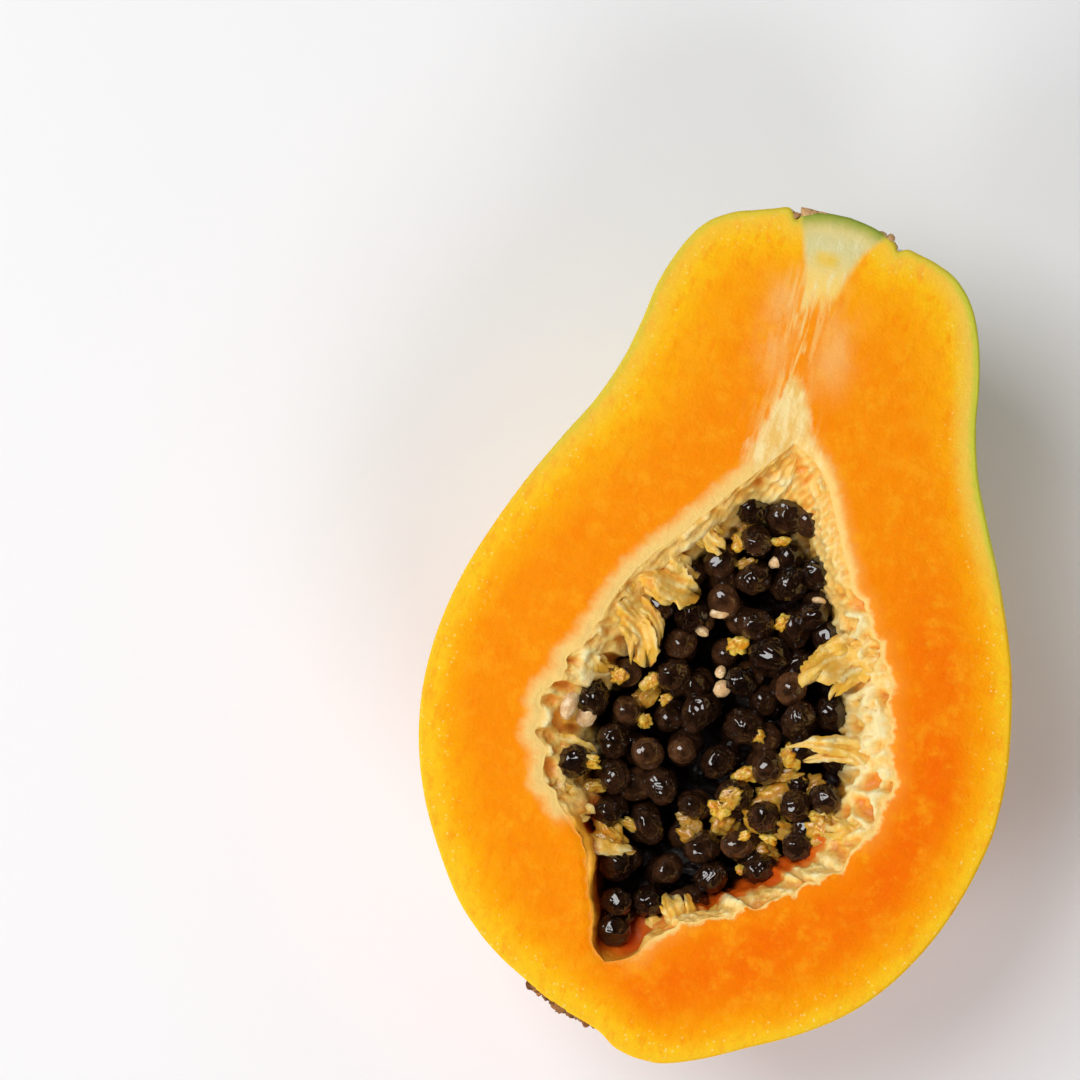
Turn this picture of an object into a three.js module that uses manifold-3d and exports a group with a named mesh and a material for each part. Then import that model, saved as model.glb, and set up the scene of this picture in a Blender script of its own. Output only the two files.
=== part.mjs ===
// Half of a ripe papaya, cut lengthwise, lying on its round back with the cut face up.
// Millimetres, +Z up, +Y towards the stem end. The origin is the middle of the base of its bounding box.
import * as THREE from "three";
import { mergeVertices } from "three/addons/utils/BufferGeometryUtils.js";
import Module from "manifold-3d";

const wasm = await Module();
wasm.setup();

// Heights and depths
const CUT_HEIGHT = 46; // the cut face above the surface that the fruit lies on
const NECK_BACK_SHARE = 1.04; // how deep the back is, as a share of the half width, towards the stem
const BELLY_BACK_SHARE = 0.96; // and towards the blossom end
const BACK_STATIONS = [15, 20]; // the outline stations between which it eases from one to the other
const RIB_COUNT = 5;
const RIB_SHARE = 0.012; // height of the blunt ribs down the skin, as a share of the radius

// The cut face's edge, from the stem scar to the blossom scar: [right x, y, left x, y]
const OUTLINE = [
  [1.5, 70.6, 1.5, 70.6],
  [5.6, 69.9, -2.6, 70.4],
  [9.1, 68.5, -5.8, 69.4],
  [10.3, 67.2, -7.0, 68.3],
  [11.8, 67.8, -8.5, 69.9],
  [13.9, 67.4, -10.9, 69.2],
  [17.0, 66.6, -13.9, 68.2],
  [20.6, 64.9, -17.3, 67.0],
  [24.0, 61.3, -21.1, 64.4],
  [26.6, 55.7, -23.9, 60.1],
  [28.3, 49.1, -26.3, 53.5],
  [29.4, 42.5, -27.5, 46.2],
  [31.6, 35.0, -29.0, 39.5],
  [34.8, 28.0, -31.7, 32.3],
  [38.8, 19.9, -35.4, 25.3],
  [42.2, 11.9, -39.6, 16.8],
  [44.8, 4.5, -43.0, 8.5],
  [46.8, -4.2, -45.8, 0.2],
  [47.9, -11.6, -47.5, -8.0],
  [48.1, -19.5, -48.1, -15.8],
  [47.1, -26.3, -47.6, -23.4],
  [45.1, -33.8, -45.9, -31.0],
  [42.2, -41.0, -42.9, -38.6],
  [37.9, -48.4, -38.7, -45.9],
  [32.5, -54.7, -33.9, -52.6],
  [25.7, -59.9, -29.0, -57.2],
  [18.0, -64.2, -24.8, -60.1],
  [10.5, -68.2, -21.8, -61.7],
  [3.7, -70.5, -19.8, -62.7],
  [-2.5, -69.9, -18.6, -63.3],
  [-6.7, -67.6, -17.7, -63.8],
  [-13.6, -65.6, -13.6, -65.6],
];

// The seed hollow's edge on the cut face, from its tip to the pocket low on the left
const HOLLOW = [
  [1.5, 33.0, 1.5, 33.0],
  [5.3, 31.0, -1.0, 29.8],
  [8.3, 27.6, -3.9, 26.2],
  [11.1, 22.4, -7.6, 21.2],
  [14.3, 16.5, -12.3, 15.0],
  [17.5, 11.6, -16.6, 9.8],
  [20.8, 7.0, -19.7, 4.8],
  [23.8, 2.0, -21.8, -0.6],
  [26.3, -3.2, -24.0, -6.5],
  [28.4, -9.4, -26.4, -12.0],
  [29.8, -16.0, -28.0, -17.5],
  [29.7, -22.6, -27.4, -23.5],
  [27.7, -27.9, -25.2, -28.6],
  [24.6, -32.6, -22.6, -32.6],
  [20.6, -37.0, -19.0, -35.6],
  [15.4, -40.8, -16.8, -37.8],
  [9.8, -43.9, -15.2, -40.8],
  [4.6, -46.0, -13.9, -44.4],
  [0.8, -48.2, -12.7, -47.8],
  [-1.6, -51.4, -11.6, -51.2],
  [-4.2, -54.8, -10.7, -54.4],
  [-8.0, -56.6, -8.0, -56.6],
];
// Half of the hollow's cross section: [share of the half width, share of the depth].
// The spongy lining makes a shelf round the rim before the wall drops.
const SECTION = [
  [1, 0],
  [0.985, 0.045],
  [0.92, 0.085],
  [0.83, 0.12],
  [0.76, 0.19],
  [0.71, 0.36],
  [0.62, 0.6],
  [0.46, 0.83],
  [0.24, 0.96],
  [0, 1],
];
const HOLLOW_SHARE = 0.92; // how deep the hollow is, as a share of its half width
const POCKET_SHARE = 1.5; // the same, at the pocket
const POCKET_STATION = 17; // where the pocket begins
const LINING_RELIEF = 0.6; // height of the lining's wrinkles

// Scars at the two ends
const KNOB_COUNT = 6; // bract scars round the stem scar
const KNOB_HEIGHT = 0.6;
const KNOB_STATION = 4.6;
const CRUST_ROUGHNESS = 0.45; // of the dried flower at the blossom end
const CRUST_STATION = 29.4; // where it begins

// Seeds
const SEED_RADII = [3.6, 3.1, 3.0];
// The seeds on top, where their middles lie: [x, y]
const TOP_SEEDS = [
  [-2.9, 20.9],
  [2.6, 21.1],
  [-0.9, 16.0],
  [-5.9, 11.4],
  [-0.1, 9.9],
  [6.0, 10.7],
  [10.2, 13.4],
  [-4.0, 5.2],
  [-14.4, 1.8],
  [-8.5, 1.6],
  [2.2, 2.6],
  [10.6, 6.2],
  [-9.1, -3.4],
  [-9.1, -8.6],
  [5.7, -1.6],
  [2.1, -7.2],
  [10.3, -6.3],
  [-21.0, -15.1],
  [-15.0, -16.2],
  [-3.8, -14.0],
  [4.6, -14.1],
  [12.9, -10.3],
  [-21.2, -26.1],
  [-16.0, -21.7],
  [-9.9, -22.4],
  [-4.6, -20.4],
  [1.6, -20.6],
  [-14.6, -27.4],
  [-6.5, -27.0],
  [5.6, -25.4],
  [9.6, -19.6],
  [-14.2, -33.3],
  [-7.1, -34.1],
  [-1.0, -29.0],
  [11.0, -28.0],
  [20.1, -22.3],
  [8.1, -33.2],
  [18.1, -31.2],
  [-10.4, -41.2],
  [2.3, -35.1],
  [5.0, -39.6],
  [12.6, -36.2],
  [-2.2, -40.0],
  [-8.9, -47.1],
  [-3.8, -45.9],
  [-8.2, -51.8],
  [15.6, -24.6],
];
const SEED_PITCH = 5.8; // between the seeds of the layer below, along a row and from row to row
const SEED_ROOM = 3.9; // least distance from a seed of that layer to one on top
const SEED_REACH = 0.76; // of the hollow's half width, where seeds lie
const RIM_DROP = 4.4; // seed middles below the cut face, along the wall
const MIDDLE_DROP = 9.0; // and in the middle of the hollow
const LOWER_DROP = 2.6; // the layer below lies this much deeper
const WALL_GAP = 1.1; // kept between the seeds and the hollow's smooth wall
const BED_DEPTH = 4.0; // the packed seeds underneath begin this far below the top ones' middles
const PALE_SEED_RADII = [2.0, 1.5, 1.3];
// Undeveloped pale seeds, where they lie on the dark ones: [x, y]
const PALE_SEEDS = [
  [-22.6, -17.8],
  [-24.8, -15.4],
  [-0.4, -12.6],
  [-1.6, -8.6],
  [-4.4, 0.4],
  [5.4, 8.2],
];

// Flaps of the cream lining that hang over the seeds: wall end, tip, half width, half thickness,
// how far below the cut face, and how far they bow sideways
const FLAPS = [
  { wall: [-17.5, 9.0], tip: [-8.6, 5.4], width: 3.4, thick: 1.5, drop: 2.4, bow: 0.8 },
  { wall: [-21.5, 2.2], tip: [-13.6, -7.6], width: 2.7, thick: 1.6, drop: 2.6, bow: -1.6 },
  { wall: [-22.0, 5.4], tip: [-17.6, 3.6], width: 1.6, thick: 1.1, drop: 1.8, bow: 0.4 },
  { wall: [-25.5, -6.0], tip: [-19.6, -11.0], width: 2.0, thick: 1.2, drop: 2.4, bow: 1.2 },
  { wall: [-28.6, -24.6], tip: [-18.6, -24.2], width: 1.3, thick: 1.0, drop: 2.6, bow: -1.2 },
  { wall: [-11.5, 18.5], tip: [-5.7, 13.6], width: 1.6, thick: 1.1, drop: 2.2, bow: 0.9 },
  { wall: [25.6, 4.0], tip: [13.6, -4.8], width: 3.3, thick: 1.4, drop: 2.4, bow: 1.8 },
  { wall: [30.4, -13.6], tip: [13.2, -15.6], width: 1.7, thick: 1.2, drop: 2.8, bow: 1.4 },
  { wall: [29.8, -23.6], tip: [21.2, -27.2], width: 1.8, thick: 1.2, drop: 2.6, bow: -1.0 },
  { wall: [-18.4, -38.6], tip: [-8.4, -38.0], width: 1.2, thick: 1.0, drop: 3.4, bow: 1.0 },
  { wall: [3.2, -48.4], tip: [-0.6, -43.6], width: 2.0, thick: 1.4, drop: 2.4, bow: 0.3 },
];
const TUFT_COUNT = 34; // short strands all round the wall
const TUFT_REACH = [2.2, 5.2];
const TUFT_RADIUS = [0.7, 1.25];
const STRAND_GAP = 0.4; // kept between the strands and the seeds

const SEED_OF_TUFTS = 11;
const SEED_OF_SEEDS = 5;

// A repeatable draw of numbers from 0 to 1 (mulberry32)
function drawer(seed) {
  let state = seed >>> 0;
  return () => {
    state = (state + 0x6d2b79f5) >>> 0;
    let t = state;
    t = Math.imul(t ^ (t >>> 15), t | 1);
    t ^= t + Math.imul(t ^ (t >>> 7), t | 61);
    return ((t ^ (t >>> 14)) >>> 0) / 4294967296;
  };
}

const between = ([low, high], share) => low + (high - low) * share;

// A point on a smooth line through the stations, at a station number that may be a fraction
function station(list, at) {
  const last = list.length - 1;
  const i = Math.min(Math.floor(at), last - 1);
  const t = at - i;
  const row = (n) => list[Math.max(0, Math.min(last, n))];
  const [a, b, c, d] = [row(i - 1), row(i), row(i + 1), row(i + 2)];
  const value = (k) =>
    0.5 *
    (2 * b[k] +
      (c[k] - a[k]) * t +
      (2 * a[k] - 5 * b[k] + 4 * c[k] - d[k]) * t * t +
      (3 * b[k] - a[k] - 3 * c[k] + d[k]) * t * t * t);
  const right = new THREE.Vector3(value(0), value(1), 0);
  const left = new THREE.Vector3(value(2), value(3), 0);
  return {
    middle: right.clone().add(left).multiplyScalar(0.5),
    across: right.clone().sub(left).multiplyScalar(0.5),
  };
}

// A closed geometry through rings of points; the first and last ring are single points
function ringGeometry(rings) {
  const positions = [];
  const starts = [];
  for (const ring of rings) {
    starts.push(positions.length / 3);
    for (const p of ring) positions.push(p.x, p.y, p.z);
  }
  const faces = [];
  for (let i = 0; i + 1 < rings.length; i++) {
    const near = rings[i].length;
    const far = rings[i + 1].length;
    const sides = Math.max(near, far);
    for (let j = 0; j < sides; j++) {
      const next = (j + 1) % sides;
      const a = starts[i] + (j % near);
      const b = starts[i] + (next % near);
      const c = starts[i + 1] + (next % far);
      const d = starts[i + 1] + (j % far);
      if (near > 1) faces.push(a, d, b);
      if (far > 1) faces.push(b, d, c);
    }
  }
  const geometry = new THREE.BufferGeometry();
  geometry.setAttribute("position", new THREE.Float32BufferAttribute(positions, 3));
  geometry.setIndex(faces);
  return geometry;
}

// A closed geometry as a solid that can be joined and cut
function solidOf(geometry) {
  const bare = new THREE.BufferGeometry();
  bare.setAttribute("position", geometry.getAttribute("position"));
  if (geometry.index) bare.setIndex(geometry.index);
  const merged = mergeVertices(bare, 1e-4);
  return new wasm.Manifold(
    new wasm.Mesh({
      numProp: 3,
      vertProperties: merged.getAttribute("position").array,
      triVerts: new Uint32Array(merged.index.array),
    }),
  );
}

// The largest body of a solid, without the scraps that trimming leaves
function largest(solid) {
  return solid.decompose().reduce((a, b) => (a.volume() > b.volume() ? a : b));
}

function meshOf(name, solid, material) {
  const made = solid.getMesh();
  const geometry = new THREE.BufferGeometry();
  geometry.setAttribute("position", new THREE.BufferAttribute(made.vertProperties, 3));
  geometry.setIndex(new THREE.BufferAttribute(made.triVerts, 1));
  geometry.computeVertexNormals();
  const mesh = new THREE.Mesh(geometry, material);
  mesh.name = name;
  return mesh;
}

function box(low, high) {
  const [a, b] = [new THREE.Vector3(...low), new THREE.Vector3(...high)];
  const size = b.clone().sub(a);
  const middle = a.clone().add(b).multiplyScalar(0.5);
  const geometry = new THREE.BoxGeometry(size.x, size.y, size.z);
  return solidOf(geometry.translate(middle.x, middle.y, middle.z));
}

// The whole fruit, before it is cut
function wholeFruit() {
  const sides = 48;
  const last = OUTLINE.length - 1;
  const stations = [];
  for (let at = 0; at <= last; at += at < 8 || at >= last - 4 ? 0.5 : 1) stations.push(at);
  const rings = [];
  for (const at of stations) {
    const { middle, across } = station(OUTLINE, at);
    const half = across.length();
    const ease = THREE.MathUtils.smoothstep(at, ...BACK_STATIONS);
    const depth = half * THREE.MathUtils.lerp(NECK_BACK_SHARE, BELLY_BACK_SHARE, ease);
    const ring = [];
    for (let j = 0; j < (half < 0.01 ? 1 : sides); j++) {
      const angle = (j / sides) * 2 * Math.PI;
      const down = Math.sin(angle);
      const rib = 1 + RIB_SHARE * Math.cos(RIB_COUNT * angle + 0.6) * Math.abs(down);
      const point = middle.clone().addScaledVector(across, Math.cos(angle) * rib);
      point.z = CUT_HEIGHT - depth * down * rib;
      const knob = Math.exp(-(((at - KNOB_STATION) / 0.8) ** 2));
      point.y += KNOB_HEIGHT * knob * Math.cos(KNOB_COUNT * angle) * Math.abs(down);
      if (at > CRUST_STATION) {
        point.y -= CRUST_ROUGHNESS * (1 + Math.sin(5 * angle + 3 * at) * Math.sin(2 * angle - 4 * at));
      }
      ring.push(point);
    }
    rings.push(ring);
  }
  return solidOf(ringGeometry(rings));
}

const hollowShare = (at) =>
  HOLLOW_SHARE +
  (POCKET_SHARE - HOLLOW_SHARE) * THREE.MathUtils.smoothstep(at, POCKET_STATION - 3, POCKET_STATION + 1);

// How deep the hollow is below the cut face, at an offset from -1 to 1 across it
function hollowDepth(half, at, offset) {
  const w = Math.min(1, Math.abs(offset));
  const i = Math.max(1, SECTION.findIndex(([x]) => x <= w));
  const [[x0, d0], [x1, d1]] = [SECTION[i - 1], SECTION[i]];
  return half * hollowShare(at) * (d0 + ((d1 - d0) * (w - x0)) / (x1 - x0));
}

// How far the lining stands out, at point j of the section
function wrinkle(at, j) {
  const along = Math.sin(3.1 * at + 1.5 * Math.sin(1.3 * j));
  const round = Math.sin(1.9 * j + 2.2 * Math.sin(1.3 * at));
  return LINING_RELIEF * along * round;
}

// The seed hollow, to cut with: inset draws its wall in
function hollow({ inset, isWrinkled }) {
  const lid = 6; // height above the cut face, which only the cut needs
  const last = HOLLOW.length - 1;
  const leftHalf = SECTION.slice().reverse();
  const section = [...SECTION.slice(0, -1), ...leftHalf.map(([x, depth]) => [-x, depth])];
  const tip = (at, towards) => {
    const [start, next] = [at, towards].map((n) => station(HOLLOW, n).middle.setZ(CUT_HEIGHT));
    return [start.lerp(next, Math.min(1, inset / 3))];
  };
  const rings = [tip(0, 1)];
  for (let at = 0.5; at < last; at += 0.5) {
    const { middle, across } = station(HOLLOW, at);
    const half = across.length();
    if (half < inset + 0.6) continue;
    const unit = across.clone().normalize();
    const ring = section.map(([x, depth], j) => {
      const swell = isWrinkled && half > 4 && depth > 0 ? wrinkle(at, j) : 0;
      const point = middle.clone().addScaledVector(unit, x * (half - inset + swell));
      return point.setZ(CUT_HEIGHT - Math.max(0, half * hollowShare(at) * depth - inset) - swell);
    });
    const above = (point) => point.clone().setZ(CUT_HEIGHT + lid);
    rings.push([...ring, above(ring[ring.length - 1]), above(ring[0])]);
  }
  rings.push(tip(last, last - 1));
  return solidOf(ringGeometry(rings));
}

// A tapered strand with an oval section along a curve: extra widens it all round
function strand({ path, width, thick, sides, steps, extra = 0 }) {
  const curve = new THREE.CatmullRomCurve3(path);
  const rings = [];
  for (let i = 0; i <= steps; i++) {
    const t = i / steps;
    const point = curve.getPoint(t);
    const along = curve.getTangent(t);
    const sideways = new THREE.Vector3(0, 0, 1).cross(along).normalize();
    const upward = along.clone().cross(sideways);
    const flare = 1 + 0.5 * (1 - t) ** 2;
    const ring = [];
    for (let j = 0; j < sides; j++) {
      const angle = -(j / sides) * 2 * Math.PI;
      const lump = 1 + 0.14 * Math.sin(j * 2.1 + i * 1.7);
      ring.push(
        point
          .clone()
          .addScaledVector(sideways, (width * flare * lump + extra) * Math.cos(angle))
          .addScaledVector(upward, (thick * flare * lump + extra) * Math.sin(angle)),
      );
    }
    rings.push(ring);
  }
  const end = curve.getPoint(1).addScaledVector(curve.getTangent(1), thick * 0.6 + extra);
  const root = curve.getPoint(0).addScaledVector(curve.getTangent(0), -0.3);
  return solidOf(ringGeometry([[root], ...rings, [end]]));
}

// The large flaps of lining, from inside the wall out over the seeds
function flapPaths() {
  return FLAPS.map(({ wall, tip, width, thick, drop, bow }) => {
    const low = CUT_HEIGHT - drop;
    const root = new THREE.Vector3(wall[0], wall[1], low - 1.0);
    const end = new THREE.Vector3(tip[0], tip[1], low - 1.6);
    const sideways = end.clone().sub(root).cross(new THREE.Vector3(0, 0, 1)).normalize();
    const crest = root.clone().lerp(end, 0.5).addScaledVector(sideways, bow).setZ(low);
    return { path: [root, crest, end], width, thick, sides: 7, steps: 4 };
  });
}

// Short tufts of lining, drawn at random along both sides of the wall
function tuftPaths() {
  const draw = drawer(SEED_OF_TUFTS);
  const paths = [];
  for (let i = 0; i < TUFT_COUNT; i++) {
    const at = 1.5 + (HOLLOW.length - 5) * ((i + draw()) / TUFT_COUNT);
    const side = i % 2 ? 1 : -1;
    const { middle, across } = station(HOLLOW, at);
    const inward = across.clone().normalize().multiplyScalar(-side);
    const drop = 2.2 + 4 * draw();
    const root = middle.clone().addScaledVector(across, side).addScaledVector(inward, -1.4);
    root.z = CUT_HEIGHT - drop - 0.6;
    const reach = between(TUFT_REACH, draw()) + 1.4;
    const end = root.clone().addScaledVector(inward, reach);
    end.y += (draw() - 0.5) * 3;
    end.z -= draw() * 1.2;
    const crest = root.clone().lerp(end, 0.55);
    crest.z += 0.5;
    const radius = between(TUFT_RADIUS, draw());
    paths.push({ path: [root, crest, end], width: radius * 1.4, thick: radius, sides: 5, steps: 3 });
  }
  return paths;
}

// Where the hollow's middle line is nearest to a point: the station, and the share of the width there
function placeInHollow(x, y) {
  const target = new THREE.Vector3(x, y, 0);
  let nearest = { gap: Infinity };
  for (let at = 0.5; at < HOLLOW.length - 1; at += 0.1) {
    const { middle, across } = station(HOLLOW, at);
    const half = across.length();
    const offset = target.clone().sub(middle).dot(across) / (half * half);
    const gap = middle.addScaledVector(across, offset).distanceTo(target);
    if (gap < nearest.gap) nearest = { gap, at, half, offset };
  }
  return nearest;
}

// How far the middle of a top seed lies below the cut face
function seedDrop({ at, half, offset }) {
  const bowl = (1 - offset * offset) * Math.min(1, half / 20);
  return Math.min(RIM_DROP + (MIDDLE_DROP - RIM_DROP) * bowl, hollowDepth(half, at, offset) - 0.5);
}

// Where the dark seeds on top lie
function topSeeds() {
  const draw = drawer(SEED_OF_SEEDS);
  return TOP_SEEDS.map(([x, y]) => {
    const drop = seedDrop(placeInHollow(x, y)) + 1.2 * (draw() - 0.5);
    return new THREE.Vector3(x, y, CUT_HEIGHT - drop);
  });
}

// Where the dark seeds of the layer below lie: rows across the hollow, wherever there is room
function lowerSeeds(top) {
  const draw = drawer(SEED_OF_SEEDS + 1);
  const places = [];
  let gone = 0;
  let previous = station(HOLLOW, 2).middle;
  for (let at = 2; at < HOLLOW.length - 3; at += 0.1) {
    const { middle, across } = station(HOLLOW, at);
    gone += middle.distanceTo(previous);
    previous = middle;
    if (gone < SEED_PITCH) continue;
    gone = 0;
    const half = across.length();
    const count = Math.max(1, Math.round((2 * half * SEED_REACH) / SEED_PITCH));
    for (let i = 0; i < count; i++) {
      const offset = SEED_REACH * ((2 * i + 0.6 + 0.8 * draw()) / count - 1);
      const point = middle.clone().addScaledVector(across, offset);
      const deeper = LOWER_DROP * (0.8 + 0.4 * draw()) * Math.min(1, half / 20);
      point.z = CUT_HEIGHT - seedDrop({ at, half, offset }) - deeper;
      if (top.every((other) => other.distanceTo(point) > SEED_ROOM)) places.push(point);
    }
  }
  return places;
}

function seed(place, radii, turn, geometry = new THREE.IcosahedronGeometry(1, 1)) {
  const matrix = new THREE.Matrix4().compose(
    place,
    new THREE.Quaternion().setFromEuler(new THREE.Euler(...turn)),
    new THREE.Vector3(...radii),
  );
  geometry.deleteAttribute("normal");
  geometry.deleteAttribute("uv");
  return solidOf(geometry.applyMatrix4(matrix));
}

// The packed seeds below, which the ones on top stand out of: a dish that follows the hollow
function seedBed() {
  const steps = [-1, -0.6, -0.2, 0.2, 0.6, 1];
  const rings = [];
  for (let at = 3; at <= HOLLOW.length - 2.5; at += 1.5) {
    const { middle, across } = station(HOLLOW, at);
    const half = across.length();
    const place = (share, sinking) => {
      const offset = share * SEED_REACH;
      const point = middle.clone().addScaledVector(across, offset);
      const top = seedDrop({ at, half, offset }) + BED_DEPTH;
      const bottom = Math.max(top + 0.4, hollowDepth(half, at, offset) - WALL_GAP);
      return point.setZ(CUT_HEIGHT - (sinking ? bottom : top));
    };
    const under = steps.map((share) => place(-share, true));
    const over = steps.map((share) => place(share, false));
    rings.push([...under, ...over]);
  }
  const pole = (ring) => [ring.reduce((sum, p) => sum.add(p), new THREE.Vector3()).divideScalar(ring.length)];
  return solidOf(ringGeometry([pole(rings[0]), ...rings, pole(rings[rings.length - 1])]));
}

function halfFruit(strands) {
  let solid = wholeFruit().subtract(hollow({ inset: 0, isWrinkled: true }));
  for (const path of strands) solid = solid.add(strand(path));
  const far = 100;
  solid = solid.subtract(box([-far, -far, CUT_HEIGHT], [far, far, far]));
  solid = solid.subtract(box([-far, -far, -far], [far, far, 0]));
  return largest(solid);
}

function seedMass(strands) {
  const draw = drawer(SEED_OF_SEEDS);
  const turn = () => [draw() * Math.PI, draw() * Math.PI, draw() * Math.PI];
  let solid = seedBed();
  const places = topSeeds();
  for (const place of places) solid = solid.add(seed(place, SEED_RADII, turn()));
  for (const place of lowerSeeds(places)) {
    solid = solid.add(seed(place, SEED_RADII, turn(), new THREE.OctahedronGeometry(1, 1)));
  }
  for (const [x, y] of PALE_SEEDS) {
    const under = places.reduce((a, b) => (Math.hypot(a.x - x, a.y - y) < Math.hypot(b.x - x, b.y - y) ? a : b));
    solid = solid.add(seed(new THREE.Vector3(x, y, under.z + 1.9), PALE_SEED_RADII, turn()));
  }
  solid = solid.intersect(hollow({ inset: WALL_GAP, isWrinkled: false }));
  for (const path of strands) solid = solid.subtract(strand({ ...path, extra: STRAND_GAP }));
  const far = 100;
  return largest(solid.subtract(box([-far, -far, CUT_HEIGHT - 0.3], [far, far, far])));
}

const flesh = new THREE.MeshStandardMaterial({ color: 0xf88a1c, roughness: 0.45, metalness: 0 });
const seedCoat = new THREE.MeshStandardMaterial({ color: 0x1d130f, roughness: 0.2, metalness: 0 });

const strands = [...flapPaths(), ...tuftPaths()];
const papaya = new THREE.Group();
papaya.add(meshOf("papaya_half", halfFruit(strands), flesh));
papaya.add(meshOf("seed_mass", seedMass(strands), seedCoat));

export default papaya;
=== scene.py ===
import math
from collections import namedtuple
from itertools import accumulate

import bmesh
import bpy
import numpy as np
from mathutils import Euler, Matrix, Vector


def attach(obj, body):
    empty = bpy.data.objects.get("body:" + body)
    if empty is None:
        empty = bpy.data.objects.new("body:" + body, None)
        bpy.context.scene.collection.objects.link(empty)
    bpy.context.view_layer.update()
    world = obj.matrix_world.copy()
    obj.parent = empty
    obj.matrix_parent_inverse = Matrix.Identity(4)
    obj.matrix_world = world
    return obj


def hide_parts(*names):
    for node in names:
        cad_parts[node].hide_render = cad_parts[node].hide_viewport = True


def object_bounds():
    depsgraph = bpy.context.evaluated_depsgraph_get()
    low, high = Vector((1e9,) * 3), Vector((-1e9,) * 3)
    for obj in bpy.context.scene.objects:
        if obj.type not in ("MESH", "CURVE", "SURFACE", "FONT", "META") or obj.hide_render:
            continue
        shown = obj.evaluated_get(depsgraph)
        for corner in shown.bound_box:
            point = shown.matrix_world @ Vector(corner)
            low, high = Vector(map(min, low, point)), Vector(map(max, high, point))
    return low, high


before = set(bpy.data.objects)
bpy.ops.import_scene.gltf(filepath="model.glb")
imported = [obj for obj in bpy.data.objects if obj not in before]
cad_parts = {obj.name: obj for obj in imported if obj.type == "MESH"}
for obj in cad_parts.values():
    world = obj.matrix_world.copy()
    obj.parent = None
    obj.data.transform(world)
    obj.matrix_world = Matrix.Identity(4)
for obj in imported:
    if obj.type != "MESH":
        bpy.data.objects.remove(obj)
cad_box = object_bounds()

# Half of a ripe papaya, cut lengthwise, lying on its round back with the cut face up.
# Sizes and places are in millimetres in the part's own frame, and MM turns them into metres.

MM = 0.001
CUT_HEIGHT = 46.0
HALF_LENGTH = 70.5
NECK_BACK_SHARE = 1.04
BELLY_BACK_SHARE = 0.96
BACK_STATIONS = (15, 20)
RIB_COUNT = 5
RIB_SHARE = 0.012
KNOB_COUNT = 6
KNOB_HEIGHT = 0.6
KNOB_STATION = 4.6
CRUST_ROUGHNESS = 0.45
CRUST_STATION = 29.4

# The cut face's edge, from the stem scar to the blossom scar: right x, y, left x, y
OUTLINE = np.array([
    (1.5, 70.6, 1.5, 70.6), (5.6, 69.9, -2.6, 70.4), (9.1, 68.5, -5.8, 69.4),
    (10.3, 67.2, -7.0, 68.3), (11.8, 67.8, -8.5, 69.9), (13.9, 67.4, -10.9, 69.2),
    (17.0, 66.6, -13.9, 68.2), (20.6, 64.9, -17.3, 67.0), (24.0, 61.3, -21.1, 64.4),
    (26.6, 55.7, -23.9, 60.1), (28.3, 49.1, -26.3, 53.5), (29.4, 42.5, -27.5, 46.2),
    (31.6, 35.0, -29.0, 39.5), (34.8, 28.0, -31.7, 32.3), (38.8, 19.9, -35.4, 25.3),
    (42.2, 11.9, -39.6, 16.8), (44.8, 4.5, -43.0, 8.5), (46.8, -4.2, -45.8, 0.2),
    (47.9, -11.6, -47.5, -8.0), (48.1, -19.5, -48.1, -15.8), (47.1, -26.3, -47.6, -23.4),
    (45.1, -33.8, -45.9, -31.0), (42.2, -41.0, -42.9, -38.6), (37.9, -48.4, -38.7, -45.9),
    (32.5, -54.7, -33.9, -52.6), (25.7, -59.9, -29.0, -57.2), (18.0, -64.2, -24.8, -60.1),
    (10.5, -68.2, -21.8, -61.7), (3.7, -70.5, -19.8, -62.7), (-2.5, -69.9, -18.6, -63.3),
    (-6.7, -67.6, -17.7, -63.8), (-13.6, -65.6, -13.6, -65.6),
])

# The seed hollow's edge on the cut face, from its tip to the pocket low on the left
HOLLOW = np.array([
    (1.5, 33.0, 1.5, 33.0), (5.3, 31.0, -1.0, 29.8), (8.3, 27.6, -3.9, 26.2),
    (11.1, 22.4, -7.6, 21.2), (14.3, 16.5, -12.3, 15.0), (17.5, 11.6, -16.6, 9.8),
    (20.8, 7.0, -19.7, 4.8), (23.8, 2.0, -21.8, -0.6), (26.3, -3.2, -24.0, -6.5),
    (28.4, -9.4, -26.4, -12.0), (29.8, -16.0, -28.0, -17.5), (29.7, -22.6, -27.4, -23.5),
    (27.7, -27.9, -25.2, -28.6), (24.6, -32.6, -22.6, -32.6), (20.6, -37.0, -19.0, -35.6),
    (15.4, -40.8, -16.8, -37.8), (9.8, -43.9, -15.2, -40.8), (4.6, -46.0, -13.9, -44.4),
    (0.8, -48.2, -12.7, -47.8), (-1.6, -51.4, -11.6, -51.2), (-4.2, -54.8, -10.7, -54.4),
    (-8.0, -56.6, -8.0, -56.6),
])
HOLLOW_CENTRE = np.array([0.0, -12.0])
# Half of the hollow's cross section: share of the half width, share of the depth
SECTION = np.array([
    (1, 0), (0.97, 0.015), (0.92, 0.05), (0.85, 0.1), (0.79, 0.17),
    (0.71, 0.36), (0.62, 0.6), (0.46, 0.83), (0.24, 0.96), (0, 1),
])
# The depth as a share of the half width, also at the pocket, and where the shallow tip begins and ends
HOLLOW_SHARE = 0.92
POCKET_SHARE = 1.5
POCKET_STATION = 17
TIP_Y = 30.0
TIP_REACH = 14
BARE_STEEPNESS = 3.5
LIP_SHARE = 0.045

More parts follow.
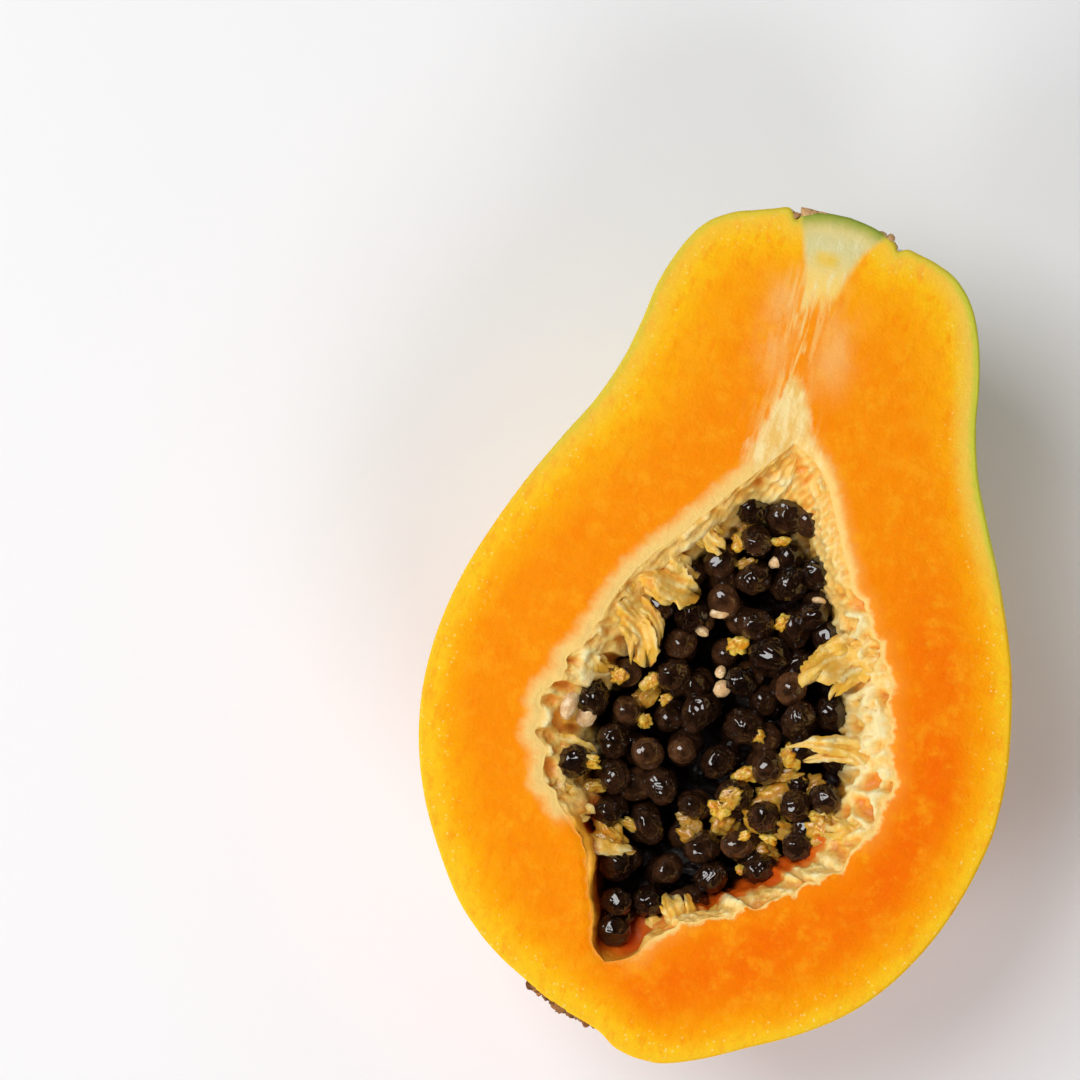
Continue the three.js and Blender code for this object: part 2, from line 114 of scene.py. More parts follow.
# Kinds of lining by the turn clockwise from the hollow's tip: from, to and softness in degrees
Zones = namedtuple("Zones", "spongy wrinkled bare ragged streaked")
ZONE_LIMITS = [(36, 122, 9), (122, 183, 5), (184, 221, 4), (222, 296, 6)]
CELL_AREA = ((-32, -60), (34, 36))
CELL_COUNT = 560
RIDGE_WIDTH = 1.9

# The middles of the seeds that the photo shows
TOP_SEEDS = [
    (-2.9, 20.9), (2.6, 21.1), (-0.9, 16.0), (-5.9, 11.4), (-0.1, 9.9), (6.0, 10.7),
    (10.2, 13.4), (-4.0, 5.2), (-14.4, 1.8), (-8.5, 1.6), (2.2, 2.6), (10.6, 6.2),
    (-9.1, -3.4), (-9.1, -8.6), (5.7, -1.6), (2.1, -7.2), (10.3, -6.3), (-21.0, -15.1),
    (-15.0, -16.2), (-3.8, -14.0), (4.6, -14.1), (12.9, -10.3), (-21.2, -26.1), (-16.0, -21.7),
    (-9.9, -22.4), (-4.6, -20.4), (1.6, -20.6), (-14.6, -27.4), (-6.5, -27.0), (5.6, -25.4),
    (9.6, -19.6), (-14.2, -33.3), (-7.1, -34.1), (-1.0, -29.0), (11.0, -28.0), (20.1, -22.3),
    (8.1, -33.2), (18.1, -31.2), (-10.4, -41.2), (2.3, -35.1), (5.0, -39.6), (12.6, -36.2),
    (-2.2, -40.0), (-8.9, -47.1), (-3.8, -45.9), (-8.2, -51.8), (15.6, -24.6),
]
SEED_PITCH = 5.8
SEED_ROOM = 3.9
SEED_REACH = 0.76
RIM_DROP = 4.4
MIDDLE_DROP = 9.0
LOWER_DROP = 2.6
SEED_OF_SEEDS = 5
SEED_RADII = (3.3, 2.7, 2.65)
SHRUNK_SHARE = 0.65
SHRUNK_COAT = (0, 0.35)
SMOOTH_COAT = (0.3, 1)
DEEP_DROP = 2.8
DEEP_SPREAD = 1.5

# Empty pale seeds, then bits of pulp: x, y, length, width, thickness, turn in degrees, how much it is a film
PALE_SEEDS = [
    (-21.1, -18.1, 4.9, 3.4, 2.6, 89, 0), (-24.0, -17.5, 5.0, 2.7, 2.4, 84, 0),
    (-1.6, -6.4, 2.1, 1.7, 1.5, 74, 0), (-0.6, -9.0, 3.2, 2.8, 2.2, 34, 0),
    (-6.2, -0.5, 2.6, 1.8, 1.5, -26, 0), (-4.1, 2.9, 3.2, 1.7, 1.0, 9, 0),
    (3.3, 13.7, 3.4, 2.2, 1.8, 39, 0), (11.3, 8.9, 2.4, 1.3, 1.0, 4, 0),
]
PULP_BITS = [
    (-3.7, 15.2, 2.8, 2.5, 1.8, 14, 0), (-2.0, 12.0, 3.6, 1.7, 0.9, 24, 0.8),
    (2.9, 16.8, 3.2, 1.2, 1.0, 14, 0.2), (6.5, 4.1, 3.0, 2.0, 1.4, 54, 0),
    (-0.1, -1.7, 3.2, 2.8, 1.8, 34, 0), (-17.4, -11.0, 2.6, 2.4, 1.6, 74, 0.3),
    (-11.9, -10.4, 3.8, 2.4, 1.2, 54, 0.25), (-12.0, -17.2, 2.6, 2.2, 1.2, -16, 0.2),
    (-19.1, -25.4, 5.2, 1.8, 1.4, -1, 0), (-9.4, -34.5, 5.8, 1.7, 1.0, -21, 0.45),
    (12.8, -17.0, 3.4, 2.8, 1.6, -46, 0.15), (6.4, -21.8, 4.0, 2.6, 1.3, 24, 0.2),
    (12.6, -20.5, 6.0, 2.2, 0.9, 19, 0.75), (3.7, -28.4, 3.0, 3.0, 1.6, 14, 0),
    (5.2, -25.8, 4.0, 3.0, 1.0, 44, 0.6), (-0.6, -31.6, 4.0, 3.4, 0.9, 14, 0.9),
    (8.8, -31.5, 2.8, 1.5, 1.0, 34, 0), (12.7, -31.0, 2.6, 1.4, 1.0, -16, 0),
    (20.7, -25.6, 4.0, 3.2, 1.6, 14, 0.1), (9.5, -37.1, 1.2, 1.8, 1.0, 14, 0),
    (6.7, -14.9, 2.8, 2.0, 1.0, -16, 0.35), (-9.2, -12.9, 2.2, 1.4, 1.0, 34, 0.5),
]

# Pulp lower down between the seeds, in the same form
PULP_BED = [
    (12.4, -24.2, 8.0, 5.0, 3.0, 20, 0.42), (5.1, -29.6, 6.0, 4.4, 2.8, 60, 0.4),
    (12.4, -28.8, 8.4, 3.8, 2.6, -10, 0.62), (16.6, -21.6, 6.0, 3.6, 2.6, 40, 0.7),
    (21.0, -27.6, 6.0, 5.0, 3.0, 70, 0.4), (11.2, -33.6, 7.4, 3.6, 2.6, 10, 0.5),
    (1.4, -34.4, 6.4, 4.0, 2.8, -30, 0.75), (-12.2, -37.2, 7.0, 3.6, 2.6, -35, 0.4),
    (-17.6, -29.6, 5.0, 2.6, 2.2, 15, 0.4), (-12.6, -12.6, 5.6, 3.2, 2.4, 50, 0.5),
    (-3.2, 18.2, 4.6, 3.0, 2.4, 80, 0.55), (-10.6, 4.8, 5.4, 3.4, 2.6, 30, 0.55),
]
PULP_BED_SINK = 2.4

# Beige bracts at the ends of the stem scar: x, y, drop below the cut face, radius
BRACTS = [
    (-5.6, 69.5, 0.7, 1.3), (-4.2, 69.9, 0.9, 1.4), (-2.8, 70.0, 1.0, 1.0), (-7.4, 68.6, 1.2, 1.1),
    (7.2, 68.9, 0.8, 1.3), (8.4, 68.4, 0.9, 1.4), (9.4, 67.6, 1.2, 1.0),
]
CRUST_FROM = 28.7
CRUST_MIDDLE = np.array([-13.4, -65.2, 43.0])
CRUST_REACH = 6.6
CHIP_COUNT = 170

# Flaps of the cream lining: wall end, tip, half width, half thickness, drop below the cut face, bow
FLAPS = [
    ((-17.5, 9.0), (-8.6, 5.4), 3.4, 1.5, 2.4, 0.8),
    ((-21.5, 2.2), (-13.6, -7.6), 2.7, 1.6, 2.6, -1.6),
    ((-22.0, 5.4), (-17.6, 3.6), 1.6, 1.1, 1.8, 0.4),
    ((-25.5, -6.0), (-19.6, -11.0), 2.0, 1.2, 2.4, 1.2),
    ((-28.6, -24.6), (-18.6, -24.2), 1.3, 1.0, 2.6, -1.2),
    ((-11.5, 18.5), (-5.7, 13.6), 1.6, 1.1, 2.2, 0.9),
    ((25.6, 4.0), (13.6, -4.8), 3.3, 1.4, 2.4, 1.8),
    ((30.4, -13.6), (13.2, -15.6), 1.7, 1.2, 2.8, 1.4),
    ((29.8, -23.6), (21.2, -27.2), 1.8, 1.2, 2.6, -1.0),
    ((-18.4, -38.6), (-8.4, -38.0), 1.2, 1.0, 3.4, 1.0),
    ((3.2, -48.4), (-0.6, -43.6), 2.0, 1.4, 2.4, 0.3),
]
FLAP_INSET = 0.22
NARROW_FLAP = 1.5
STRIP_PLACES = (0, -0.7, 0.75)
STRIP_DROPS = (0.0, 0.8, 0.5)
STRAND_END = 0.84
SEED_OF_FLAPS = 17
TUFT_COUNT = 34
TUFT_INSET = 1.4
TUFT_REACH = (2.2, 5.2)
TUFT_RADIUS = (0.7, 1.25)
SEED_OF_TUFTS = 11

# How finely the surfaces are divided
SIDE_STEPS = 300
FACE_STEPS = 56
BOWL_STEPS = 44
SKIN_STEPS = 72
CHUNK = 4000

# The camera
LEAN = math.radians(14)  # of the fruit's long axis, clockwise in the picture
PIXELS_PER_MM = 6.123
PICTURE = 1080
FACE_MIDDLE = (736.45, 637.28)  # the pixel where the cut face's middle lies
TILT = math.radians(6)  # of the view, towards the fruit's right flank
LENS = 150.0
SENSOR = 36.0

# Area lights: name, place and size in metres, watts, colour, whether reflections show it
LIGHTS = [
    ("key", (-0.44, 0.20, 0.85), 0.56, 5.6, (1.0, 0.995, 0.99), True),
    ("fill", (0.50, -0.60, 0.80), 0.45, 3.5, (1.0, 0.99, 0.975), False),
    ("low", (-0.72, -0.76, 0.60), 0.45, 5.6, (1.0, 1.0, 1.0), False),
]
LIGHTS_AIM = (0, 0, 0.04)
FLOOR_SIZE = 6.0
WORLD_STRENGTH = 0.14


def drawer(seed):
    """A repeatable draw of numbers from 0 to 1 (mulberry32)."""
    state = seed
    whole = 0xFFFFFFFF

    def draw():
        nonlocal state
        state = (state + 0x6D2B79F5) & whole
        t = ((state ^ (state >> 15)) * (state | 1)) & whole
        t ^= (t + (((t ^ (t >> 7)) * (t | 61)) & whole)) & whole
        return ((t ^ (t >> 14)) & whole) / 2**32

    return draw


def waves(points, length, seed, count=20):
    """A smooth random field of about -1 to 1 at the points, whose bumps are about length across."""
    random = np.random.RandomState(seed)
    directions = random.normal(size=(count, 3))
    directions /= np.linalg.norm(directions, axis=1)[:, None]
    rates = 2 * math.pi / (length * random.uniform(0.7, 1.6, count))
    phases = random.uniform(0, 2 * math.pi, count)
    field = np.zeros(len(points))
    for direction, rate, phase in zip(directions, rates, phases):
        field += np.sin(points @ direction * rate + phase)
    return field / math.sqrt(count)


def smooth(x, low, high):
    t = np.clip((x - low) / (high - low), 0, 1)
    return t * t * (3 - 2 * t)


def station(rows, at):
    """The right and left points on smooth lines through the rows, at row numbers that may be fractions."""
    at = np.atleast_1d(np.asarray(at, float))
    last = len(rows) - 1
    i = np.minimum(np.floor(at).astype(int), last - 1)
    t = (at - i)[:, None]
    a, b, c, d = (rows[np.clip(i + k, 0, last)] for k in (-1, 0, 1, 2))
    value = 0.5 * (2 * b + (c - a) * t + (2 * a - 5 * b + 4 * c - d) * t**2 + (3 * b - a - 3 * c + d) * t**3)
    return value[:, :2], value[:, 2:]


def middle_and_across(rows, at):
    right, left = station(rows, at)
    return (right + left) / 2, (right - left) / 2


def one_place(rows, at):
    """The middle and the way across at a single station."""
    middle, across = middle_and_across(rows, at)
    return middle[0], across[0]


def hollow_depth(half, at, offset):
    """How deep the hollow is below the cut face, at an offset from -1 to 1 across it."""
    pocket = smooth(at, POCKET_STATION - 3, POCKET_STATION + 1)
    share = HOLLOW_SHARE + (POCKET_SHARE - HOLLOW_SHARE) * pocket
    return half * share * np.interp(np.minimum(np.abs(offset), 1), SECTION[::-1, 0], SECTION[::-1, 1])


def distances(points, others):
    """The distances from points to others in the plane of the cut, for some thousands of points at a time."""
    for start in range(0, len(points), CHUNK):
        away = points[start:start + CHUNK, None, :2] - others[None, :, :2]
        yield np.sqrt((away**2).sum(2))


def gap_to(points, line):
    """The distance from each point to the nearest point of a line."""
    return np.concatenate([away.min(1) for away in distances(points, line)])


def below_cut(points, drop):
    """Pushes points down that are higher than a drop below the cut face."""
    points[:, 2] = np.minimum(points[:, 2], CUT_HEIGHT - drop)


def mesh_object(name, points, faces, materials, face_materials=None, **values):
    """A smooth-shaded object from points in millimetres; values are named numbers kept on its points."""
    mesh = bpy.data.meshes.new(name)
    mesh.from_pydata((np.asarray(points) * MM).tolist(), [], faces)
    mesh.validate()
    for material in materials:
        mesh.materials.append(material)
    if face_materials is not None:
        mesh.polygons.foreach_set("material_index", face_materials)
    for key, numbers in values.items():
        attribute = mesh.attributes.new(key, "FLOAT", "POINT")
        attribute.data.foreach_set("value", np.asarray(numbers, np.float32))
    tidy = bmesh.new()
    tidy.from_mesh(mesh)
    bmesh.ops.recalc_face_normals(tidy, faces=tidy.faces)
    tidy.to_mesh(mesh)
    tidy.free()
    mesh.shade_smooth()
    made = bpy.data.objects.new(name, mesh)
    bpy.context.collection.objects.link(made)
    return made


def srgb(red, green, blue):
    """A screen colour of 0 to 255 as the linear colour that a shader takes."""
    def linear(value):
        share = value / 255
        return share / 12.92 if share <= 0.04045 else ((share + 0.055) / 1.055) ** 2.4

    return (linear(red), linear(green), linear(blue), 1)


class Shader:
    """A Principled material, with short ways to add the nodes that colour it."""

    def __init__(self, name, **settings):
        self.material = bpy.data.materials.new(name)
        self.material.use_nodes = True
        self.nodes = self.material.node_tree.nodes
        self.links = self.material.node_tree.links
        self.surface = self.nodes["Principled BSDF"]
        for key, value in settings.items():
            self.surface.inputs[key.replace("_", " ")].default_value = value
        place = self.node("TexCoord", {}, "Object")
        self.place = self.node("VectorMath", {0: place, "Scale": 1 / MM}, operation="SCALE")

    def feed(self, socket, value):
        if isinstance(value, bpy.types.NodeSocket):
            self.links.new(value, socket)
        else:
            socket.default_value = value

    def node(self, kind, inputs, output=0, **settings):
        """An output of a new node with these inputs and settings."""
        node = self.nodes.new("ShaderNode" + kind)
        for key, value in settings.items():
            setattr(node, key, value)
        for key, value in inputs.items():
            self.feed(node.inputs[key], value)
        return node.outputs[output]

    def value(self, name):
        """A number that mesh_object kept on the points."""
        return self.node("Attribute", {}, "Fac", attribute_name=name)

    def lengthwise(self, share):
        """The place, squeezed to a share along the fruit, so that a pattern there is drawn out."""
        return self.node("VectorMath", {0: self.place, 1: (1, share, 1)}, operation="MULTIPLY")

    def noise(self, length, detail=4, roughness=0.6, vector=None, distortion=0):
        """Noise whose patches are about length millimetres across."""
        inputs = {"Scale": 1 / length, "Detail": detail, "Roughness": roughness, "Distortion": distortion}
        inputs["Vector"] = vector or self.place
        return self.node("TexNoise", inputs, "Fac")

    def dots(self, length, radius):
        """1 in dots whose radius is a share of the cells of about length millimetres, else 0."""
        away = self.node("TexVoronoi", {"Vector": self.place, "Scale": 1 / length}, "Distance")
        return self.math("LESS_THAN", away, radius)

    def math(self, operation, a, b=0.0, c=0.0):
        return self.node("Math", {0: a, 1: b, 2: c}, operation=operation)

    def times(self, a, b):
        return self.math("MULTIPLY", a, b)

    def shifted(self, base, noise, amount):
        """The base with noise of the given amount, from trough to crest, added round it."""
        return self.math("MULTIPLY_ADD", self.math("SUBTRACT", noise, 0.5), amount, base)

    def span(self, value, low, high, to_low=0.0, to_high=1.0):
        """The value's place between low and high, smoothed."""
        inputs = {"Value": value, "From Min": low, "From Max": high, "To Min": to_low, "To Max": to_high}
        return self.node("MapRange", inputs, interpolation_type="SMOOTHSTEP")

    def ramp(self, share, stops):
        node = self.nodes.new("ShaderNodeValToRGB")
        self.feed(node.inputs[0], share)
        elements = node.color_ramp.elements
        while len(elements) < len(stops):
            elements.new(0.5)
        for element, (place, colour) in zip(elements, stops):
            element.position, element.color = place, colour
        return node.outputs[0]

    def mix(self, share, a, b):
        return self.node("Mix", {"Factor": share, 6: a, 7: b}, 2, data_type="RGBA")

    def relief(self, *layers):
        """Bumps from layers of noise: length, detail, roughness and depth in millimetres."""
        normal = {}
        for *noise, depth in layers:
            inputs = {"Distance": depth * MM, "Height": self.noise(*noise)} | normal
            normal = {"Normal": self.node("Bump", inputs)}
        return normal["Normal"]

    def finish(self, colour, normal=None, roughness=None):
        for key, value in {"Base Color": colour, "Normal": normal, "Roughness": roughness}.items():
            if value is not None:
                self.feed(self.surface.inputs[key], value)
        return self.material


GREEN_EDGE = srgb(204, 202, 66)
YELLOW_EDGE = srgb(254, 196, 22)
YELLOW_FLESH = srgb(254, 168, 8)
ORANGE_FLESH = srgb(252, 146, 4)
RED_FLESH = srgb(248, 104, 2)
PEACH = srgb(251, 186, 104)
CREAM = srgb(250, 210, 126)
PULP_YELLOW = srgb(246, 184, 52)
SCAR_GREEN = srgb(140, 158, 62)


def ripe_flesh(s, blotch, fine):
    """Yellow at the rim, then orange, redder low on the right, with light blotches and dark veins."""
    wander = s.shifted(s.times(s.value("rim"), s.value("ripe")), blotch, 4.5)
    wander = s.shifted(wander, fine, 2.0)
    flesh = s.ramp(s.math("DIVIDE", wander, 12.0), [
        (0.0, YELLOW_EDGE),
        (0.14, YELLOW_EDGE),
        (0.34, YELLOW_FLESH),
        (0.7, ORANGE_FLESH),
        (1.0, ORANGE_FLESH),
    ])
    red = s.times(s.value("red"), s.span(blotch, 0.2, 0.75, 0.45, 1.0))
    flesh = s.mix(red, flesh, RED_FLESH)
    mottle = s.span(s.noise(3.2, 5, 0.7), 0.46, 0.7, 0, 0.5)
    flesh = s.mix(mottle, flesh, srgb(255, 173, 26))
    veins = s.span(s.noise(2.0, 5, 0.75, s.lengthwise(0.45)), 0.48, 0.68, 0, 0.45)
    return s.mix(veins, flesh, srgb(251, 128, 0))


def peach_and_cream(s, flesh, fine):
    """Peach patches in the neck, and a peach band with a cream lip round the hollow."""
    cloudy = s.span(s.noise(4, 4, 0.6, s.lengthwise(0.45)), 0.3, 0.6)
    flesh = s.mix(s.times(s.times(s.value("peach"), cloudy), 0.75), flesh, PEACH)
    halo = s.shifted(s.value("core"), fine, 2.2)
    band = s.times(s.span(halo, 0.3, 3.6, 0.85, 0.0), s.value("halo"))
    flesh = s.mix(band, flesh, PEACH)
    lip_width = s.math("MULTIPLY_ADD", s.value("halo"), 2.6, 0.5)
    lip = s.times(s.span(s.math("DIVIDE", halo, lip_width), 0.1, 1.1, 1.0, 0.0), s.value("edge"))
    return s.mix(lip, flesh, CREAM)


def fibres(s, flesh):
    """Pale fibres down the neck, and a frayed tan wedge of them above the hollow."""
    streaks = s.noise(1.1, 3, 0.6, s.lengthwise(0.13), 0.4)
    flesh = s.mix(s.times(s.value("fibre"), s.span(streaks, 0.42, 0.62)), flesh, CREAM)
    threads = s.lengthwise(0.3)
    cream = s.value("cream")
    fuzz = s.shifted(cream, s.noise(1.1, 4, 0.65, threads), s.span(cream, 0.0, 0.3, 0.0, 1.5))
    tone = s.span(s.noise(1.5, 4, 0.65, threads), 0.35, 0.65)
    tan = s.mix(tone, srgb(242, 196, 108), srgb(253, 226, 160))
    return s.mix(s.span(fuzz, 0.1, 0.9), flesh, tan)


def scar_colour(s, blotch):
    """The pale green of the cut stem scar, with paler streaks and a yellow spot."""
    stalk = s.mix(blotch, srgb(226, 210, 150), srgb(208, 206, 146))
    scar = s.mix(s.value("stalk"), srgb(250, 212, 116), stalk)
    streaks = s.span(s.noise(1.2, 4, 0.6, s.lengthwise(0.3)), 0.5, 0.7, 0.0, 0.5)
    scar = s.mix(streaks, scar, srgb(236, 228, 184))
    return s.mix(s.value("spot"), scar, srgb(240, 196, 52))


def skin_line(s, flesh, blotch, fine):
    """The green line of skin along the rim, strongest at the neck and at the stem scar."""
    rim, lime = s.value("rim"), s.value("lime")
    edge = s.shifted(rim, fine, 0.8)
    flesh = s.mix(s.times(s.span(edge, 0.6, 5.0, 0.85, 0.0), lime), flesh, srgb(238, 200, 84))
    flesh = s.mix(s.times(s.span(edge, 0.4, 1.7, 1.0, 0.0), lime), flesh, GREEN_EDGE)
    scar_rim = s.span(s.math("MULTIPLY_ADD", blotch, 3.0, rim), 1.4, 4.4, 0.95, 0.0)
    return s.mix(s.times(s.value("scar"), scar_rim), flesh, SCAR_GREEN)


def flesh_material():
    """The cut face: green skin line, yellow rim, orange flesh, peach and cream next to the hollow."""
    s = Shader(
        "cut_flesh", Roughness=0.36, Specular_IOR_Level=0.04,
        Subsurface_Weight=0.1, Subsurface_Scale=0.002, Subsurface_Radius=(1.0, 0.4, 0.1),
    )
    blotch = s.noise(9)
    fine = s.noise(1.6, 3)
    flesh = peach_and_cream(s, ripe_flesh(s, blotch, fine), fine)
    flesh = fibres(s, flesh)
    near_rim = s.span(s.value("rim"), 2.0, 7.5, 0.55, 0.0)
    flesh = s.mix(s.times(s.dots(1.15, 0.17), near_rim), flesh, srgb(255, 226, 130))
    flesh = s.mix(s.value("scar"), flesh, scar_colour(s, blotch))
    flesh = skin_line(s, flesh, blotch, fine)
    relief = s.relief((0.5, 4, 0.7, 0.10), (2.6, 4, 0.6, 0.25))
    shine = s.span(s.noise(2.2, 3), 0.3, 0.7, 0.26, 0.48)
    return s.finish(flesh, relief, shine)


def lining_material():
    """The spongy lining: cream ridges and deeper yellow and orange hollows, with painted highlight on ridge
    tops, painted shade in the hollows and deep down, and painted light atop the bare wall.
    """
    s = Shader(
        "lining", Roughness=0.38, Coat_Weight=0.3, Coat_Roughness=0.2,
        Subsurface_Weight=0.3, Subsurface_Scale=0.002, Subsurface_Radius=(1.0, 0.6, 0.25),
    )
    # Colour by the relief's height: the lining's own cream ridges and orange pits, with the ridge tops
    # painted paler as painted highlight and the pits painted darker as painted shade.
    height = s.shifted(s.value("height"), s.noise(2.0), 0.9)
    colour = s.ramp(s.span(height, -1.2, 1.1), [
        (0.0, srgb(240, 148, 46)),
        (0.28, srgb(250, 188, 86)),
        (0.5, srgb(253, 206, 114)),
        (0.75, srgb(255, 216, 134)),
        (1.0, srgb(255, 234, 174)),
    ])
    patches = s.span(s.noise(5), 0.45, 0.68, 0, 0.42)
    colour = s.mix(patches, colour, PULP_YELLOW)
    streaks = s.span(s.noise(1.3, 4, 0.65, s.lengthwise(0.35)), 0.5, 0.72, 0, 0.4)
    colour = s.mix(streaks, colour, srgb(214, 158, 84))
    stained = s.times(s.value("flap"), s.span(s.noise(3.0, 3), 0.4, 0.65, 0.0, 0.75))
    colour = s.mix(stained, colour, PULP_YELLOW)
    depth = s.value("depth")
    # The bare wall's red-orange flesh, redder lower down, painted lighter in its top millimetres as painted
    # light where the wall faces away from the lamps.
    wall = s.mix(s.span(depth, 0.5, 6.0), srgb(255, 176, 44), srgb(238, 98, 10))
    colour = s.mix(s.value("bare"), colour, wall)
    # Painted shade: below 7.5 mm the hollow's colour turns near black, as the shade between and under the
    # seeds.
    colour = s.mix(s.span(depth, 7.5, 12.5), colour, srgb(34, 9, 3))
    return s.finish(colour, s.relief((0.7, 5, 0.7, 0.18), (2.2, 3, 0.6, 0.35)))


def skin_material():
    """The skin: green at the neck, yellow, then orange lower down, with many small olive specks."""
    s = Shader("skin", Roughness=0.34, Coat_Weight=0.25, Coat_Roughness=0.22)
    cloud = s.noise(26, 4, 0.55)
    small = s.noise(5)
    yellow = s.ramp(s.shifted(s.shifted(s.value("warm"), cloud, 1.1), small, 0.35), [
        (0.0, srgb(242, 196, 40)),
        (0.3, srgb(252, 188, 22)),
        (0.65, srgb(250, 164, 14)),
        (1.0, srgb(240, 134, 14)),
    ])
    green = s.mix(s.span(small, 0.3, 0.7), srgb(98, 132, 26), srgb(158, 172, 54))
    share = s.value("green")
    for noise, amount in ((cloud, 1.1), (small, 0.55), (s.noise(1.3, 4, 0.7), 0.45)):
        share = s.shifted(share, noise, amount)
    colour = s.mix(s.span(share, 0.28, 0.9), yellow, green)
    for length, radius, strength, tint in (
        (1.35, s.span(s.noise(15, 3, 0.5), 0.34, 0.6, 0.1, 0.25), 0.6, srgb(112, 104, 24)),
        (5.2, 0.1, 0.8, srgb(94, 76, 22)),
        (0.9, 0.16, 0.16, srgb(255, 226, 120)),
    ):
        colour = s.mix(s.times(s.dots(length, radius), strength), colour, tint)
    colour = s.mix(s.value("scar"), colour, srgb(176, 160, 92))
    crust = s.mix(s.noise(1.2, 4, 0.7), srgb(70, 42, 20), srgb(176, 128, 72))
    colour = s.mix(s.value("crust"), colour, crust)
    relief = s.relief((9, 3, 0.5, 0.5), (0.6, 3, 0.6, 0.03))
    return s.finish(colour, relief, s.span(small, 0.3, 0.7, 0.28, 0.42))


def seed_material():
    """Wet dark seeds; some have a brown gel coat, painted lighter brown at their sides as painted light
    through the gel.
    """
    s = Shader("seed", Coat_Weight=1.0, Coat_Roughness=0.03, Coat_IOR=1.75, Specular_IOR_Level=0.05)
    spots = s.noise(1.4, 4, 0.65)
    core = s.mix(s.span(spots, 0.4, 0.8), srgb(15, 7, 4), srgb(50, 25, 15))
    gel = s.mix(spots, srgb(68, 35, 17), srgb(138, 92, 58))
    # Painted light: the gel brown shows where the seed faces sideways, standing in for light through the gel
    # at its rim.
    uneven = s.shifted(s.value("side"), s.noise(1.9, 3), 2.4)
    coat = s.times(s.value("coat"), s.span(uneven, -0.1, 1.4, 0.15, 1.0))
    relief = s.relief((0.9, 4, 0.65, 0.42), (0.25, 2, 0.5, 0.05))
    return s.finish(s.mix(coat, core, gel), relief, s.span(spots, 0.3, 0.7, 0.16, 0.4))


def crust_material():
    """Brown chips of the dried flower, and beige bracts."""
    s = Shader("crust", Roughness=0.75)
    brown = s.mix(s.value("tone"), srgb(92, 50, 22), srgb(196, 134, 78))
    beige = s.mix(s.noise(0.8), srgb(176, 112, 74), srgb(242, 204, 140))
    colour = s.mix(s.value("bract"), brown, beige)
    return s.finish(colour, s.relief((0.5, 4, 0.7, 0.3)))


def pale_seed_material():
    s = Shader("pale_seed", Roughness=0.35, Coat_Weight=0.4, Coat_Roughness=0.12)
    colour = s.mix(s.span(s.noise(0.9), 0.3, 0.7), srgb(242, 212, 162), srgb(214, 166, 112))
    return s.finish(colour, s.relief((0.5, 3, 0.6, 0.12)))


def pulp_material():
    """Bits of yellow pulp, and golden brown films of it over the seeds."""
    s = Shader(
        "pulp", Roughness=0.3, Coat_Weight=0.8, Coat_Roughness=0.08,
        Subsurface_Weight=0.5, Subsurface_Scale=0.002, Subsurface_Radius=(1.0, 0.6, 0.2),
    )
    light = s.mix(s.span(s.noise(1.0, 4, 0.65), 0.35, 0.65), srgb(253, 208, 88), srgb(236, 148, 16))
    dark = s.mix(s.noise(0.9), srgb(140, 92, 30), srgb(214, 158, 54))
    colour = s.mix(s.value("film"), light, dark)
    return s.finish(colour, s.relief((0.7, 3, 0.6, 0.25)))


def turn_shares(points):
    """How far round the hollow's centre each point of one side lies, from 0 at the tip to 1 at the pocket."""
    away = points - HOLLOW_CENTRE
    turn = np.unwrap(np.arctan2(away[:, 0], away[:, 1]))
    gone = np.maximum.accumulate(np.abs(turn - turn[0]))
    return gone / gone[-1]


def hollow_edge(side, shares):
    """The stations, middles and ways across at points of the hollow's edge on one side."""
    fine = np.linspace(0, len(HOLLOW) - 1, 841)
    at = np.interp(shares, turn_shares(station(HOLLOW, fine)[side]), fine)
    middle, across = middle_and_across(HOLLOW, at)
    return at, middle, across * (1 if side == 0 else -1)


def loop_outline():
    """The cut face's edge as a closed loop, right side first, with the stations of one side."""
    at = np.linspace(0, len(OUTLINE) - 1, SIDE_STEPS + 1)
    right, left = station(OUTLINE, at)
    back = slice(SIDE_STEPS - 1, 0, -1)
    halves = [hollow_edge(side, turn_shares(points)) for side, points in enumerate((right, left))]
    hollow_loop = [np.concatenate([a, b[back]]) for a, b in zip(*halves)]
    return at, np.concatenate([right, left[back]]), hollow_loop


def outward(loop):
    """The directions square to a closed loop, pointing out of it."""
    along = np.roll(loop, -2, axis=0) - np.roll(loop, 2, axis=0)
    normal = np.column_stack([-along[:, 1], along[:, 0]])
    return normal / np.maximum(np.linalg.norm(normal, axis=1), 1e-6)[:, None]


def bell(x, middle, width):
    return np.exp(-(((x - middle) / width) ** 2))


def window(x, low, high, soft):
    return smooth(x, low - soft, low + soft) * (1 - smooth(x, high - soft, high + soft))


def lining_zones(points):
    """The share of each kind of lining at points, by their turn clockwise from the hollow's tip."""
    away = points[:, :2] - HOLLOW_CENTRE
    turn = np.degrees(np.arctan2(away[:, 0], away[:, 1])) % 360
    shares = [window(turn, *limits) for limits in ZONE_LIMITS]
    rest = 1
    for share in shares:
        rest = rest - share
    return Zones(*shares, np.clip(rest, 0, 1))


def cell_ridges(points):
    """Ridges, from 0 to 1, between cells of a few millimetres."""
    cells = np.random.RandomState(3).uniform(*CELL_AREA, (CELL_COUNT, 2))
    gaps = np.concatenate([np.partition(away, 1, axis=1)[:, :2] for away in distances(points, cells)])
    return 1 - smooth(gaps[:, 1] - gaps[:, 0], 0.0, RIDGE_WIDTH)


